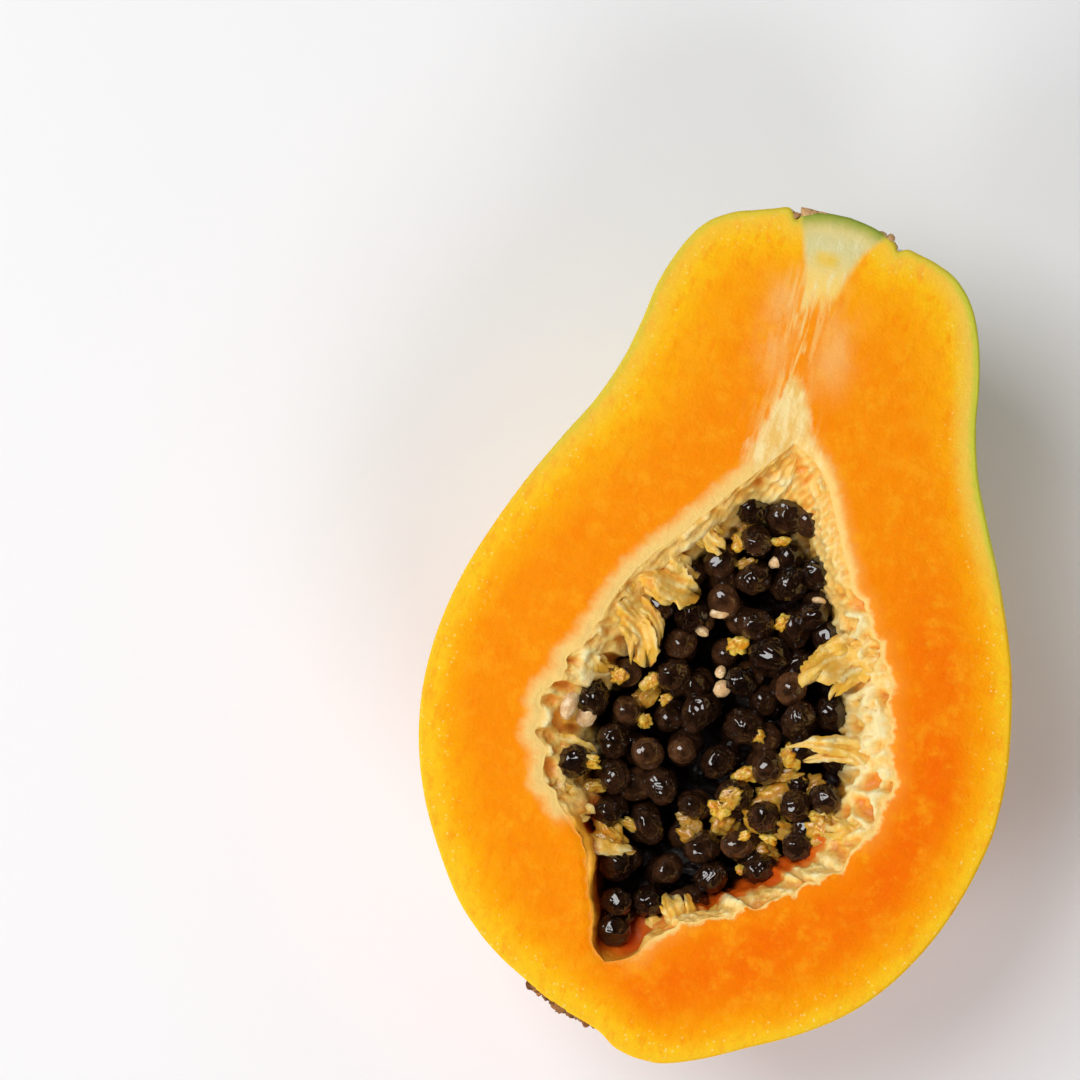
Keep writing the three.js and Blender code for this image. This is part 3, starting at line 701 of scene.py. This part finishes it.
def lining_height(points, along, down):
    """The lining's relief: ridges round pits, wrinkles, or streaks; along and down are ways on the wall."""
    zones = lining_zones(points)
    flat = np.zeros(len(points))
    streaks = waves(np.column_stack([along / 9, down, flat]), 2.2, 21)
    wrinkles = waves(np.column_stack([along, down / 4, flat]), 2.4, 22)
    height = (zones.spongy + 0.55 * zones.ragged) * (1.7 * cell_ridges(points) - 0.9)
    height += zones.streaked * (0.35 * streaks + 0.3 * waves(points, 1.5, 25))
    height += (0.35 * zones.wrinkled + 0.3 * zones.ragged) * wrinkles
    height += (0.35 * (1 - zones.streaked) + 0.12) * waves(points, 5.0, 23)
    grain = 0.18 * waves(points, 1.7, 24) + 0.2 * waves(points, 1.0, 26)
    height += (zones.spongy + zones.ragged + zones.wrinkled) * grain
    return np.clip(height, -1.2, 1.2) * smooth(down, 0.0, 0.8)


def raised(points, height=CUT_HEIGHT):
    return np.column_stack([points, np.broadcast_to(height, len(points))])


def face_points(outline, inner):
    """Rings from the outline to the hollow's edge, both rounded, and how far the points are from both."""
    rings = []
    for step in range(FACE_STEPS + 1):
        share = 0.5 - 0.5 * math.cos(math.pi * step / FACE_STEPS)
        rings.append(raised(outline + (inner - outline) * share))
    face = np.concatenate(rings)
    rim = gap_to(face, outline)
    core = gap_to(face, inner)
    face[:, 2] -= 0.3 * bell(rim, 0, 0.22) + 0.25 * bell(core, 0, 0.8)
    return face, rim, core


def bowl_points(hollow_loop, inner):
    """Rings from the hollow's edge down to its middle line, and the relief on them."""
    at, middle, across = hollow_loop
    half = np.linalg.norm(across, axis=1)
    along = np.cumsum(np.linalg.norm(np.roll(inner, 1, axis=0) - inner, axis=1))
    steeper = 1 + BARE_STEEPNESS * lining_zones(raised(inner)).bare
    shallow = 0.4 + 0.6 * smooth(TIP_Y - inner[:, 1], 0, TIP_REACH)
    rings = []
    downs = []
    for step in range(1, BOWL_STEPS + 1):
        share = 1 - 0.97 * (step / BOWL_STEPS) ** 1.4
        inward = 1 - share
        offset = np.maximum(1 - inward - (steeper - 1) * max(inward - LIP_SHARE, 0), 0)
        height = CUT_HEIGHT - 0.25 - hollow_depth(half, at, offset) * shallow
        rings.append(raised(middle + (inner - middle) * share, height))
        downs.append((1 - share) * half)
    bowl = np.concatenate(rings)
    relief = lining_height(bowl, np.tile(along, BOWL_STEPS), np.concatenate(downs))
    lip = np.tile(smooth(half, 0.8, 5.5), BOWL_STEPS)
    bowl[:, 2] += 0.9 * relief * lip
    bowl[:, :2] -= np.tile(outward(inner), (BOWL_STEPS, 1)) * (0.6 * relief * lip)[:, None]
    below_cut(bowl, 0.2)
    return bowl, relief


def skin_points(at):
    """Rows of points round the back, from the right edge of the cut to the left one."""
    middle, across = middle_and_across(OUTLINE, at)
    share = NECK_BACK_SHARE + (BELLY_BACK_SHARE - NECK_BACK_SHARE) * smooth(at, *BACK_STATIONS)
    depth = np.linalg.norm(across, axis=1) * share
    knob = bell(at, KNOB_STATION, 0.8)
    crust = smooth(at, CRUST_STATION - 0.4, CRUST_STATION + 0.4)
    rows = []
    for angle in np.arange(1, SKIN_STEPS) * math.pi / SKIN_STEPS:
        down = math.sin(angle)
        rib = 1 + RIB_SHARE * math.cos(RIB_COUNT * angle + 0.6) * down
        height = CUT_HEIGHT - 0.3 * (1 - down) - depth * down * rib
        points = raised(middle + across * math.cos(angle) * rib, height)
        points[:, 1] += KNOB_HEIGHT * knob * math.cos(KNOB_COUNT * angle) * down
        lumps = 1 + np.sin(5 * angle + 3 * at) * np.sin(2 * angle - 4 * at)
        points[:, 1] -= CRUST_ROUGHNESS * lumps * crust * down
        rows.append(points)
    skin = np.concatenate(rows)
    skin[:, 2] = np.maximum(skin[:, 2], 0)
    return skin


def ring_faces(rings, count):
    """The faces between closed rings of count points each."""
    faces = []
    for ring in range(rings):
        for j in range(count):
            a, b = ring * count + j, ring * count + (j + 1) % count
            faces.append((a, b, b + count, a + count))
    return faces


def body_faces(count):
    """The faces between the rings, across the hollow's floor and round the skin, and the material of each."""
    faces = ring_faces(FACE_STEPS + BOWL_STEPS, count)
    deepest = (FACE_STEPS + BOWL_STEPS) * count
    for j in range(SIDE_STEPS):
        corners = [deepest + n % count for n in (j, j + 1, count - j - 1, count - j)]
        faces.append(tuple(dict.fromkeys(corners)))

    def skin_index(k, row):
        if k in (0, SIDE_STEPS) or row == 0:
            return k
        if row == SKIN_STEPS:
            return count - k
        return deepest + count + (row - 1) * (SIDE_STEPS - 1) + k - 1

    for row in range(SKIN_STEPS):
        for k in range(SIDE_STEPS):
            corners = [skin_index(k + i, row + j) for i, j in ((0, 0), (1, 0), (1, 1), (0, 1))]
            faces.append(tuple(dict.fromkeys(corners)))
    counts = (FACE_STEPS * count, BOWL_STEPS * count + SIDE_STEPS, SKIN_STEPS * SIDE_STEPS)
    return faces, np.repeat([0, 1, 2], counts).tolist()


def ragged_edge(middle, across):
    """The hollow's edge with small waves, strongest where the lining is rough."""
    smooth_edge = middle + across
    edge = raised(smooth_edge)
    zones = lining_zones(edge)
    roughness = 0.15 + 0.85 * (1 - zones.streaked) * (1 - 0.8 * zones.bare)
    roughness *= smooth(np.linalg.norm(across, axis=1), 1.0, 8.0)
    wander = (0.5 * waves(edge, 5, 31) + 0.3 * waves(edge, 1.8, 32)) * roughness
    return smooth_edge + outward(smooth_edge) * wander[:, None]


def spread(values, total, first=None):
    """Numbers for a run of the points that starts at first, or is the last one, with zeros elsewhere."""
    full = {}
    for name, numbers in values.items():
        start = total - len(numbers) if first is None else first
        full[name] = np.zeros(total)
        full[name][start:start + len(numbers)] = numbers
    return full


def fruit_body(materials):
    """The skin, the cut face and the hollow's wall as one closed surface."""
    at, outline, hollow_loop = loop_outline()
    inner = ragged_edge(*hollow_loop[1:])
    face, rim, core = face_points(outline, inner)
    bowl, relief = bowl_points(hollow_loop, inner)
    inner_at = at[1:-1]
    low, high = np.array(cad_box) / MM
    points = np.clip(np.concatenate([face, bowl, skin_points(inner_at)]), low, high)
    faces, kinds = body_faces(len(outline))
    values = {
        **spread(face_values(face, rim, core), len(points), 0),
        **spread(bowl_values(bowl, relief), len(points), len(face)),
        **spread(skin_values(points, inner_at), len(points)),
    }
    values["scar"][:len(face)] = scar_share(face)
    return mesh_object("papaya_flesh", points, faces, materials, kinds, **values)


def face_values(face, rim, core):
    """Numbers on the cut face that its colours go by."""
    x, y = face[:, 0], face[:, 1]
    zones = lining_zones(face)
    near_hollow = (0.4 + 0.6 * smooth(core, 0.5, 6)) * (1 - smooth(core, 6, 22))
    lower_right = smooth(0.9 * x - 0.45 * y, 0, 38)
    streak_x = np.interp(y, (43, 48, 54, 60, 66), (-1.1, -1.5, -2.0, -1.6, 0.5))
    streak_width = np.interp(y, (33, 43, 50, 58), (4.4, 2.3, 2.7, 4.0))
    cream_x = np.interp(y, (31, 43), (0.2, -0.6))
    cream_width = np.interp(y, (30, 36, 40, 44), (6.8, 4.3, 2.6, 1.1))
    patch_left = bell(x, -5.5, 3.0) * window(y, 43, 59, 4)
    patch_right = bell(x, 4.5, 3.2) * window(y, 43, 55, 5)
    halo = 1 - 0.45 * smooth(x, 0, 14) - 0.4 * zones.spongy - 0.8 * zones.wrinkled - zones.bare
    return {
        "rim": rim,
        "core": core,
        "ripe": 1.12 - 0.62 * smooth(y - 0.6 * x, 8, 50) - 0.4 * smooth(-x - y, 48, 76),
        "halo": np.clip(halo, 0, 1),
        "edge": 1 - 0.85 * zones.bare,
        "red": near_hollow * (0.12 + 0.88 * lower_right) * smooth(rim, 4, 10),
        "fibre": bell(x, streak_x, streak_width) * window(y, 34, 60, 3),
        "cream": (1 - smooth(np.abs(x - cream_x) / cream_width, 0.3, 1.4)) * window(y, 28, 43, 3),
        "peach": np.maximum(patch_left, patch_right),
        "stalk": smooth(y, 58.5, 65.5),
        "spot": np.exp(-(((x + 0.5) / 1.9) ** 4) - ((y - 63.1) / 1.1) ** 4) * 0.8,
        "lime": smooth(y, 8, 30) * (0.45 + 0.55 * smooth(x, 14, 24)) + 0.1,
    }


def bowl_values(bowl, relief):
    """Numbers on the hollow's wall that its colours go by."""
    zones = lining_zones(bowl)
    depth = CUT_HEIGHT - bowl[:, 2]
    bare = zones.bare + zones.wrinkled * smooth(depth, 2.6, 4.6)
    return {"height": relief, "bare": np.clip(bare, 0, 1), "depth": depth}


def skin_values(points, at):
    """Numbers on the skin that its colours go by."""
    green = smooth(points[:, 1], 8, 60) * 0.75 + smooth(points[:, 2], 30, CUT_HEIGHT) * 0.2
    green += smooth(-points[:, 1], 54, 68) * 0.5
    rows = SKIN_STEPS - 1
    return {
        "green": np.clip(green, 0, 1),
        "warm": smooth(34 - points[:, 1], 0, 90),
        "crust": np.tile(smooth(at, CRUST_STATION, CRUST_STATION + 0.7), rows),
        "scar": np.tile(1 - smooth(at, KNOB_STATION - 1.2, KNOB_STATION), rows),
    }


def scar_share(face):
    """Where the cut passes through the stem scar: a wedge that narrows downwards."""
    x, y = face[:, 0], face[:, 1]
    left = np.interp(y, (55, 58, 61, 65, 69.5), (-2.0, -3.2, -3.8, -5.0, -6.6))
    right = np.interp(y, (55, 58, 61, 65, 68.8), (1.4, 2.8, 3.5, 4.9, 7.9))
    return smooth(x - left, -0.5, 0.9) * smooth(right - x, -0.5, 0.9) * smooth(y, 54.5, 58.5)


def place_in_hollow(x, y):
    """The station nearest to a point, the hollow's half width there and the point's share across it."""
    at = np.arange(0.5, len(HOLLOW) - 1, 0.1)
    middle, across = middle_and_across(HOLLOW, at)
    half = np.linalg.norm(across, axis=1)
    offset = ((np.array([x, y]) - middle) * across).sum(1) / half**2
    gap = np.linalg.norm(middle + across * offset[:, None] - (x, y), axis=1)
    n = int(gap.argmin())
    return at[n], half[n], offset[n]


def seed_drop(at, half, offset):
    """How far the middle of a top seed lies below the cut face."""
    bowl = (1 - offset**2) * min(1, half / 20)
    return min(RIM_DROP + (MIDDLE_DROP - RIM_DROP) * bowl, float(hollow_depth(half, at, offset)) - 0.5)


def top_seed_places():
    """The middles of the seeds that the photo shows."""
    draw = drawer(SEED_OF_SEEDS)
    places = []
    for x, y in TOP_SEEDS:
        drop = seed_drop(*place_in_hollow(x, y)) + 1.2 * (draw() - 0.5)
        places.append(np.array([x, y, CUT_HEIGHT - drop]))
    return places


def lower_seed_places(top):
    """The middles of seeds in rows across the hollow, where the top ones leave room."""
    draw = drawer(SEED_OF_SEEDS + 1)
    places = []
    gone = 0
    previous = one_place(HOLLOW, 2)[0]
    for at in np.arange(2, len(HOLLOW) - 3, 0.1):
        middle, across = one_place(HOLLOW, at)
        gone += np.linalg.norm(middle - previous)
        previous = middle
        if gone < SEED_PITCH:
            continue
        gone = 0
        half = np.linalg.norm(across)
        count = max(1, round(2 * half * SEED_REACH / SEED_PITCH))
        for i in range(count):
            offset = SEED_REACH * ((2 * i + 0.6 + 0.8 * draw()) / count - 1)
            deeper = LOWER_DROP * (0.8 + 0.4 * draw()) * min(1, half / 20)
            height = CUT_HEIGHT - seed_drop(at, half, offset) - deeper
            point = np.array([*(middle + across * offset), height])
            if all(np.linalg.norm(other - point) > SEED_ROOM for other in top):
                places.append(point)
    return places


def ball(rows, columns):
    """The points of a unit ball and its faces, in rows from pole to pole."""
    polar = np.arange(1, rows) * math.pi / rows
    turn = np.arange(columns) * 2 * math.pi / columns
    points = [(0, 0, 1)]
    for p in polar:
        points += [(math.sin(p) * math.cos(t), math.sin(p) * math.sin(t), math.cos(p)) for t in turn]
    points.append((0, 0, -1))
    faces = []
    last = len(points) - 1
    for j in range(columns):
        k = (j + 1) % columns
        faces.append((0, 1 + j, 1 + k))
        for row in range(rows - 2):
            a = 1 + row * columns
            faces.append((a + j, a + columns + j, a + columns + k, a + k))
        bottom = 1 + (rows - 2) * columns
        faces.append((bottom + j, last, bottom + k))
    return np.array(points), faces


def join(parts):
    """Several sets of points, faces and numbers on the points as one."""
    points, part_faces, *values = zip(*parts)
    starts = accumulate(map(len, points), initial=0)
    faces = [tuple(start + i for i in face) for start, some in zip(starts, part_faces) for face in some]
    return np.concatenate(points), faces, *map(np.concatenate, values)


def seed_shape(unit, n, shrunk, size):
    """A lumpy oval, with ridges if it is shrunk."""
    lump = 0.98 + 0.05 * waves(unit, 1.7, 100 + n)
    ridge_height, fine_height = (0.06, 0.04) if shrunk else (0.022, 0.012)
    lump += ridge_height * np.clip(1 - 2.2 * np.abs(waves(unit, 0.95, 300 + n)), -0.8, 1)
    lump += fine_height * np.clip(1 - 2.2 * np.abs(waves(unit, 0.5, 500 + n)), -0.8, 1)
    return unit * np.array(SEED_RADII) * (size * lump)[:, None]


def seed_object(name, places, rows, columns, material, random):
    """Many seeds as one object, some of them shrunk, each with its share of gel coat."""
    unit, unit_faces = ball(rows, columns)
    parts = []
    for n, place in enumerate(places):
        shrunk = random.random_sample() < SHRUNK_SHARE
        size = random.uniform(0.88, 1.1)
        turn = np.array(Euler(random.uniform(0, math.pi, 3)).to_matrix())
        placed = seed_shape(unit, n, shrunk, size) @ turn.T + place
        below_cut(placed, 0.3)
        coat = random.uniform(*(SHRUNK_COAT if shrunk else SMOOTH_COAT))
        # How far each point faces sideways, where the seed shader paints the lighter gel brown as painted
        # light.
        side = np.sqrt(1 - (unit @ turn.T)[:, 2] ** 2 + 1e-9)
        parts.append((placed, unit_faces, np.full(len(unit), coat), side))
    points, faces, coats, sides = join(parts)
    return mesh_object(name, points, faces, [material], coat=coats, side=sides)


def rest_height(x, y, seeds):
    """How high something small lies on the seeds at a place."""
    gaps = [math.hypot(seed[0] - x, seed[1] - y) for seed in seeds]
    nearest = int(np.argmin(gaps))
    return seeds[nearest][2] + math.sqrt(max(SEED_RADII[1] ** 2 - gaps[nearest] ** 2, 0.4))


def bits_object(name, rows, seeds, material, seed, uneven, sink=0.0):
    """Flat lumpy bits that lie on the seeds or sink between them, but not into the wall."""
    unit, unit_faces = ball(22, 34)
    parts = []
    for n, (x, y, length, width, thickness, turn, film) in enumerate(rows):
        lump = 1 + uneven * waves(unit, 1.5, seed + 2 * n) + 0.7 * uneven * waves(unit, 0.6, seed + 2 * n + 1)
        lump = np.clip(lump + 0.32 * uneven * waves(unit, 0.33, seed + 60 + n), 0.4, 1.6)
        shape = unit * np.array([length, width, thickness]) / 2 * lump[:, None]
        cosine, sine = math.cos(math.radians(turn)), math.sin(math.radians(turn))
        turned = np.array([[cosine, -sine, 0], [sine, cosine, 0], [0, 0, 1]])
        at, half, offset = place_in_hollow(x, y)
        wall = CUT_HEIGHT - float(hollow_depth(half, at, offset)) + 0.3 * thickness
        place = (x, y, max(rest_height(x, y, seeds) - 0.15 * thickness - sink, wall))
        parts.append((shape @ turned.T + place, unit_faces, np.full(len(unit), float(film))))
    points, faces, films = join(parts)
    below_cut(points, 0.3)
    return mesh_object(name, points, faces, [material], film=films)


def curve(path, t):
    """Points at the shares t of a curve through three points, and the ways sideways and up there."""
    start, crest, end = path
    bend = 2 * crest - 0.5 * (start + end)
    line = (1 - t) ** 2 * start + 2 * t * (1 - t) * bend + t**2 * end
    along = 2 * (1 - t) * (bend - start) + 2 * t * (end - bend)
    along /= np.linalg.norm(along, axis=2, keepdims=True)
    sideways = np.cross((0, 0, 1), along)
    sideways /= np.linalg.norm(sideways, axis=2, keepdims=True)
    return line, sideways, np.cross(along, sideways)


def strand(path, width, thick, sides, steps, seed):
    """A torn strip along a curve: ridged lengthwise, flared at its root, thin and ragged at its end."""
    path = np.array(path, float)
    angles = np.arange(sides) * 2 * math.pi / sides
    across = np.cos(angles) * width
    shares = np.linspace(0, 1, steps + 1)
    tear = waves(np.column_stack([across, 0 * across, 0 * across]), 0.9 * width, seed + 3)
    t = (shares[:, None] * (1 - 0.16 * (1 + np.clip(tear, -1, 1))))[..., None]
    line, sideways, upward = curve(path, t)
    rounding = np.sqrt(np.clip(1 - ((shares - STRAND_END) / 0.165) ** 2, 0.02, 1))
    flare = (1 + 0.45 * (1 - shares) ** 2) * np.where(shares > STRAND_END, rounding, 1)
    lengthwise = np.repeat(shares * np.linalg.norm(path[2] - path[0]) / 7, sides)
    fibres = np.column_stack([np.tile(across, steps + 1), lengthwise, np.zeros(t.size)])
    ridges = waves(fibres, 0.95, seed + 1).reshape(t.shape[:2])
    rise = np.sin(angles) * thick * (1 - 0.45 * shares[:, None]) * (1 + 0.32 * np.clip(ridges, -1.2, 1.2))
    offset = sideways * (across * flare[:, None])[..., None] + upward * (rise * flare[:, None])[..., None]
    centres = line.reshape(-1, 3)
    points = centres + offset.reshape(-1, 3)
    lump = np.clip(0.15 * waves(points, 3.4, seed) + 0.1 * waves(points, 1.2, seed + 2), -0.36, 0.4)
    points = centres + (points - centres) * (1 + lump)[:, None]
    points[:, 2] += 0.35 * width * waves(points * (1, 1, 0), 2.2 * width + 1.0, seed + 4)
    faces = ring_faces(steps, sides)
    faces.append(tuple(range(sides))[::-1])
    faces.append(tuple(steps * sides + j for j in range(sides)))
    return points, faces, 0.55 * ridges.ravel() + 1.4 * lump


def flap_strands():
    """Torn flaps of the lining, each a broad strip, and the wide ones with a narrower one on each side."""
    draw = drawer(SEED_OF_FLAPS)
    strands = []
    for n, (wall, tip, width, thick, drop, bow) in enumerate(FLAPS):
        reach = np.array(tip) - wall
        sideways = np.array([reach[1], -reach[0]]) / np.linalg.norm(reach)
        wall = np.array(wall) + FLAP_INSET * reach
        for i in range(3 if width > NARROW_FLAP else 1):
            share = STRIP_PLACES[i] * (0.8 + 0.4 * draw())
            length = (1 - FLAP_INSET) * (1.1 if i == 0 else 0.75 + 0.3 * draw())
            start = wall + sideways * share * width
            stop = start + reach * length + sideways * (share * width * 0.2 + 1.4 * (draw() - 0.5))
            middle = (start + stop) / 2 + sideways * (bow + 0.9 * (draw() - 0.5))
            height = CUT_HEIGHT - drop - STRIP_DROPS[i] - 0.4 * draw()
            path = [(*start, height - 1.2), (*middle, height), (*stop, height - 1.4 - 1.2 * draw())]
            half = width * (0.85 if i == 0 else 0.42)
            strands.append(strand(path, half, 0.6 * thick, 60 if i == 0 else 34, 44, 500 + 40 * n + 7 * i))
    return strands


def tuft_strands():
    """Short tufts all round the hollow, except at its tip and on the bare wall."""
    draw = drawer(SEED_OF_TUFTS)
    strands = []
    for i in range(TUFT_COUNT):
        at = 1.5 + (len(HOLLOW) - 5) * ((i + draw()) / TUFT_COUNT)
        side = 1 if i % 2 else -1
        middle, across = one_place(HOLLOW, at)
        edge = middle + across * side
        inward = -side * across / np.linalg.norm(across)
        drop = 2.2 + 4 * draw()
        root = np.array([*(edge - inward * TUFT_INSET), CUT_HEIGHT - drop - 0.6])
        reach = TUFT_REACH[0] + (TUFT_REACH[1] - TUFT_REACH[0]) * draw() + TUFT_INSET
        end = root + np.array([*(inward * reach), 0])
        end[1] += (draw() - 0.5) * 3
        end[2] -= draw() * 1.2
        crest = root + (end - root) * 0.55 + (0, 0, 0.5)
        radius = TUFT_RADIUS[0] + (TUFT_RADIUS[1] - TUFT_RADIUS[0]) * draw()
        if lining_zones(edge[None]).bare[0] < 0.3 and at > 4.2:
            strands.append(strand([root, crest, end], radius * 1.4, radius, 20, 18, 700 + 3 * i))
    return strands


def chips(places, radii, random, seed):
    """Small rough lumps."""
    unit, unit_faces = ball(8, 12)
    parts = []
    for n, (place, radius) in enumerate(zip(places, radii)):
        lump = 1 + 0.3 * waves(unit, 1.2, seed + n)
        shape = unit * random.uniform(0.5, 1.0, 3) * radius * lump[:, None]
        turn = np.array(Euler(random.uniform(0, math.pi, 3)).to_matrix())
        parts.append((shape @ turn.T + place, unit_faces, np.full(len(unit), random.random_sample())))
    return join(parts)


def crust_places(random):
    """Places spread over the blossom scar, round the end of the fruit."""
    places = []
    for at in random.uniform(CRUST_FROM, len(OUTLINE) - 1.05, CHIP_COUNT):
        middle, across = one_place(OUTLINE, at)
        angle = random.uniform(0, math.pi)
        depth = np.linalg.norm(across) * BELLY_BACK_SHARE * math.sin(angle)
        place = np.array([*(middle + across * math.cos(angle)), CUT_HEIGHT - 0.6 - depth])
        if np.linalg.norm(place - CRUST_MIDDLE) < CRUST_REACH:
            places.append(place)
    return places


def crust_object(random):
    """The brown crust of the blossom scar and the beige bracts left at the ends of the stem scar."""
    places = crust_places(random)
    bract_places = [np.array([x, y, CUT_HEIGHT - drop]) for x, y, drop, _ in BRACTS]
    points, faces, tones = join([
        chips(places, random.uniform(0.4, 1.05, len(places)), random, 1300),
        chips(bract_places, [radius for *_, radius in BRACTS], random, 1500),
    ])
    below_cut(points, 0.1)
    points[:, 1] = np.clip(points[:, 1], -HALF_LENGTH, HALF_LENGTH)
    bract = np.where(points[:, 1] > 0, 1.0, 0.0)
    return mesh_object("scar_crust", points, faces, [crust_material()], tone=tones, bract=bract)


def lining_strands(material):
    points, faces, heights = join(flap_strands() + tuft_strands())
    below_cut(points, 0.25)
    return mesh_object("lining_flaps", points, faces, [material], height=heights, flap=np.ones(len(points)))


def add_light(name, place, size, watts, colour, mirrored):
    data = bpy.data.lights.new(name, "AREA")
    data.size = size
    data.energy = watts
    data.color = colour
    light = bpy.data.objects.new(name, data)
    light.location = place
    light.rotation_euler = (Vector(LIGHTS_AIM) - Vector(place)).to_track_quat("-Z", "Y").to_euler()
    light.visible_glossy = mirrored
    bpy.context.collection.objects.link(light)


def set_up_stage():
    """A plain pale floor, three soft lights and a dim white surrounding that reflections don't show."""
    bpy.ops.mesh.primitive_plane_add(size=FLOOR_SIZE)
    floor = bpy.context.object
    floor.name = "floor"
    floor.data.materials.append(Shader("floor", Roughness=0.8).finish(srgb(244, 244, 246)))
    world = bpy.data.worlds.new("studio")
    world.use_nodes = True
    background = world.node_tree.nodes["Background"]
    background.inputs["Color"].default_value = (1, 1, 1, 1)
    background.inputs["Strength"].default_value = WORLD_STRENGTH
    world.cycles_visibility.glossy = False
    bpy.context.scene.world = world
    bpy.context.scene.view_settings.view_transform = "Standard"
    for light in LIGHTS:
        add_light(*light)


def set_up_camera():
    """A long lens above the cut face, turned so that the fruit lies in the picture as in the photo."""
    across = np.array([math.cos(LEAN), math.sin(LEAN)])
    along = np.array([math.sin(LEAN), -math.cos(LEAN)])
    off = (np.array([PICTURE / 2, PICTURE / 2]) - FACE_MIDDLE) / PIXELS_PER_MM
    target = Vector((off @ across * MM, off @ along * MM, CUT_HEIGHT * MM))
    distance = PICTURE / PIXELS_PER_MM * MM * LENS / SENSOR
    right = Vector((*across, 0))
    toward = Matrix.Rotation(-TILT, 3, Vector((*along, 0))) @ Vector((0, 0, 1))
    data = bpy.data.cameras.new("camera")
    data.lens = LENS
    data.sensor_width = SENSOR
    camera = bpy.data.objects.new("camera", data)
    camera.location = target + toward * distance
    side = (right - toward * right.dot(toward)).normalized()
    camera.rotation_euler = Matrix((side, toward.cross(side), toward)).transposed().to_euler()
    bpy.context.collection.objects.link(camera)
    bpy.context.scene.camera = camera


def build():
    set_up_camera()
    set_up_stage()
    flesh, lining, skin = flesh_material(), lining_material(), skin_material()
    seed, pulp = seed_material(), pulp_material()
    random = np.random.RandomState(8)
    top = top_seed_places()
    lower = lower_seed_places(top)
    deep = [
        place - (0, 0, DEEP_DROP) + random.uniform(-DEEP_SPREAD, DEEP_SPREAD, 3) * (1, 1, 0.3)
        for place in top + lower
    ]
    pieces = {
        "papaya_half": [
            fruit_body([flesh, lining, skin]),
            lining_strands(lining),
            crust_object(random),
        ],
        "seed_mass": [
            seed_object("seeds_on_top", top, 32, 48, seed, random),
            seed_object("seeds_below", lower + deep, 18, 26, seed, random),
            bits_object("pale_seeds", PALE_SEEDS, top, pale_seed_material(), seed=900, uneven=0.06),
            bits_object("pulp_bits", PULP_BITS, top, pulp, seed=950, uneven=0.3),
            bits_object("pulp_bed", PULP_BED, top, pulp, seed=1100, uneven=0.24, sink=PULP_BED_SINK),
        ],
    }
    for node, parts in pieces.items():
        for part in parts:
            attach(part, "root")
            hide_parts(node)


build()
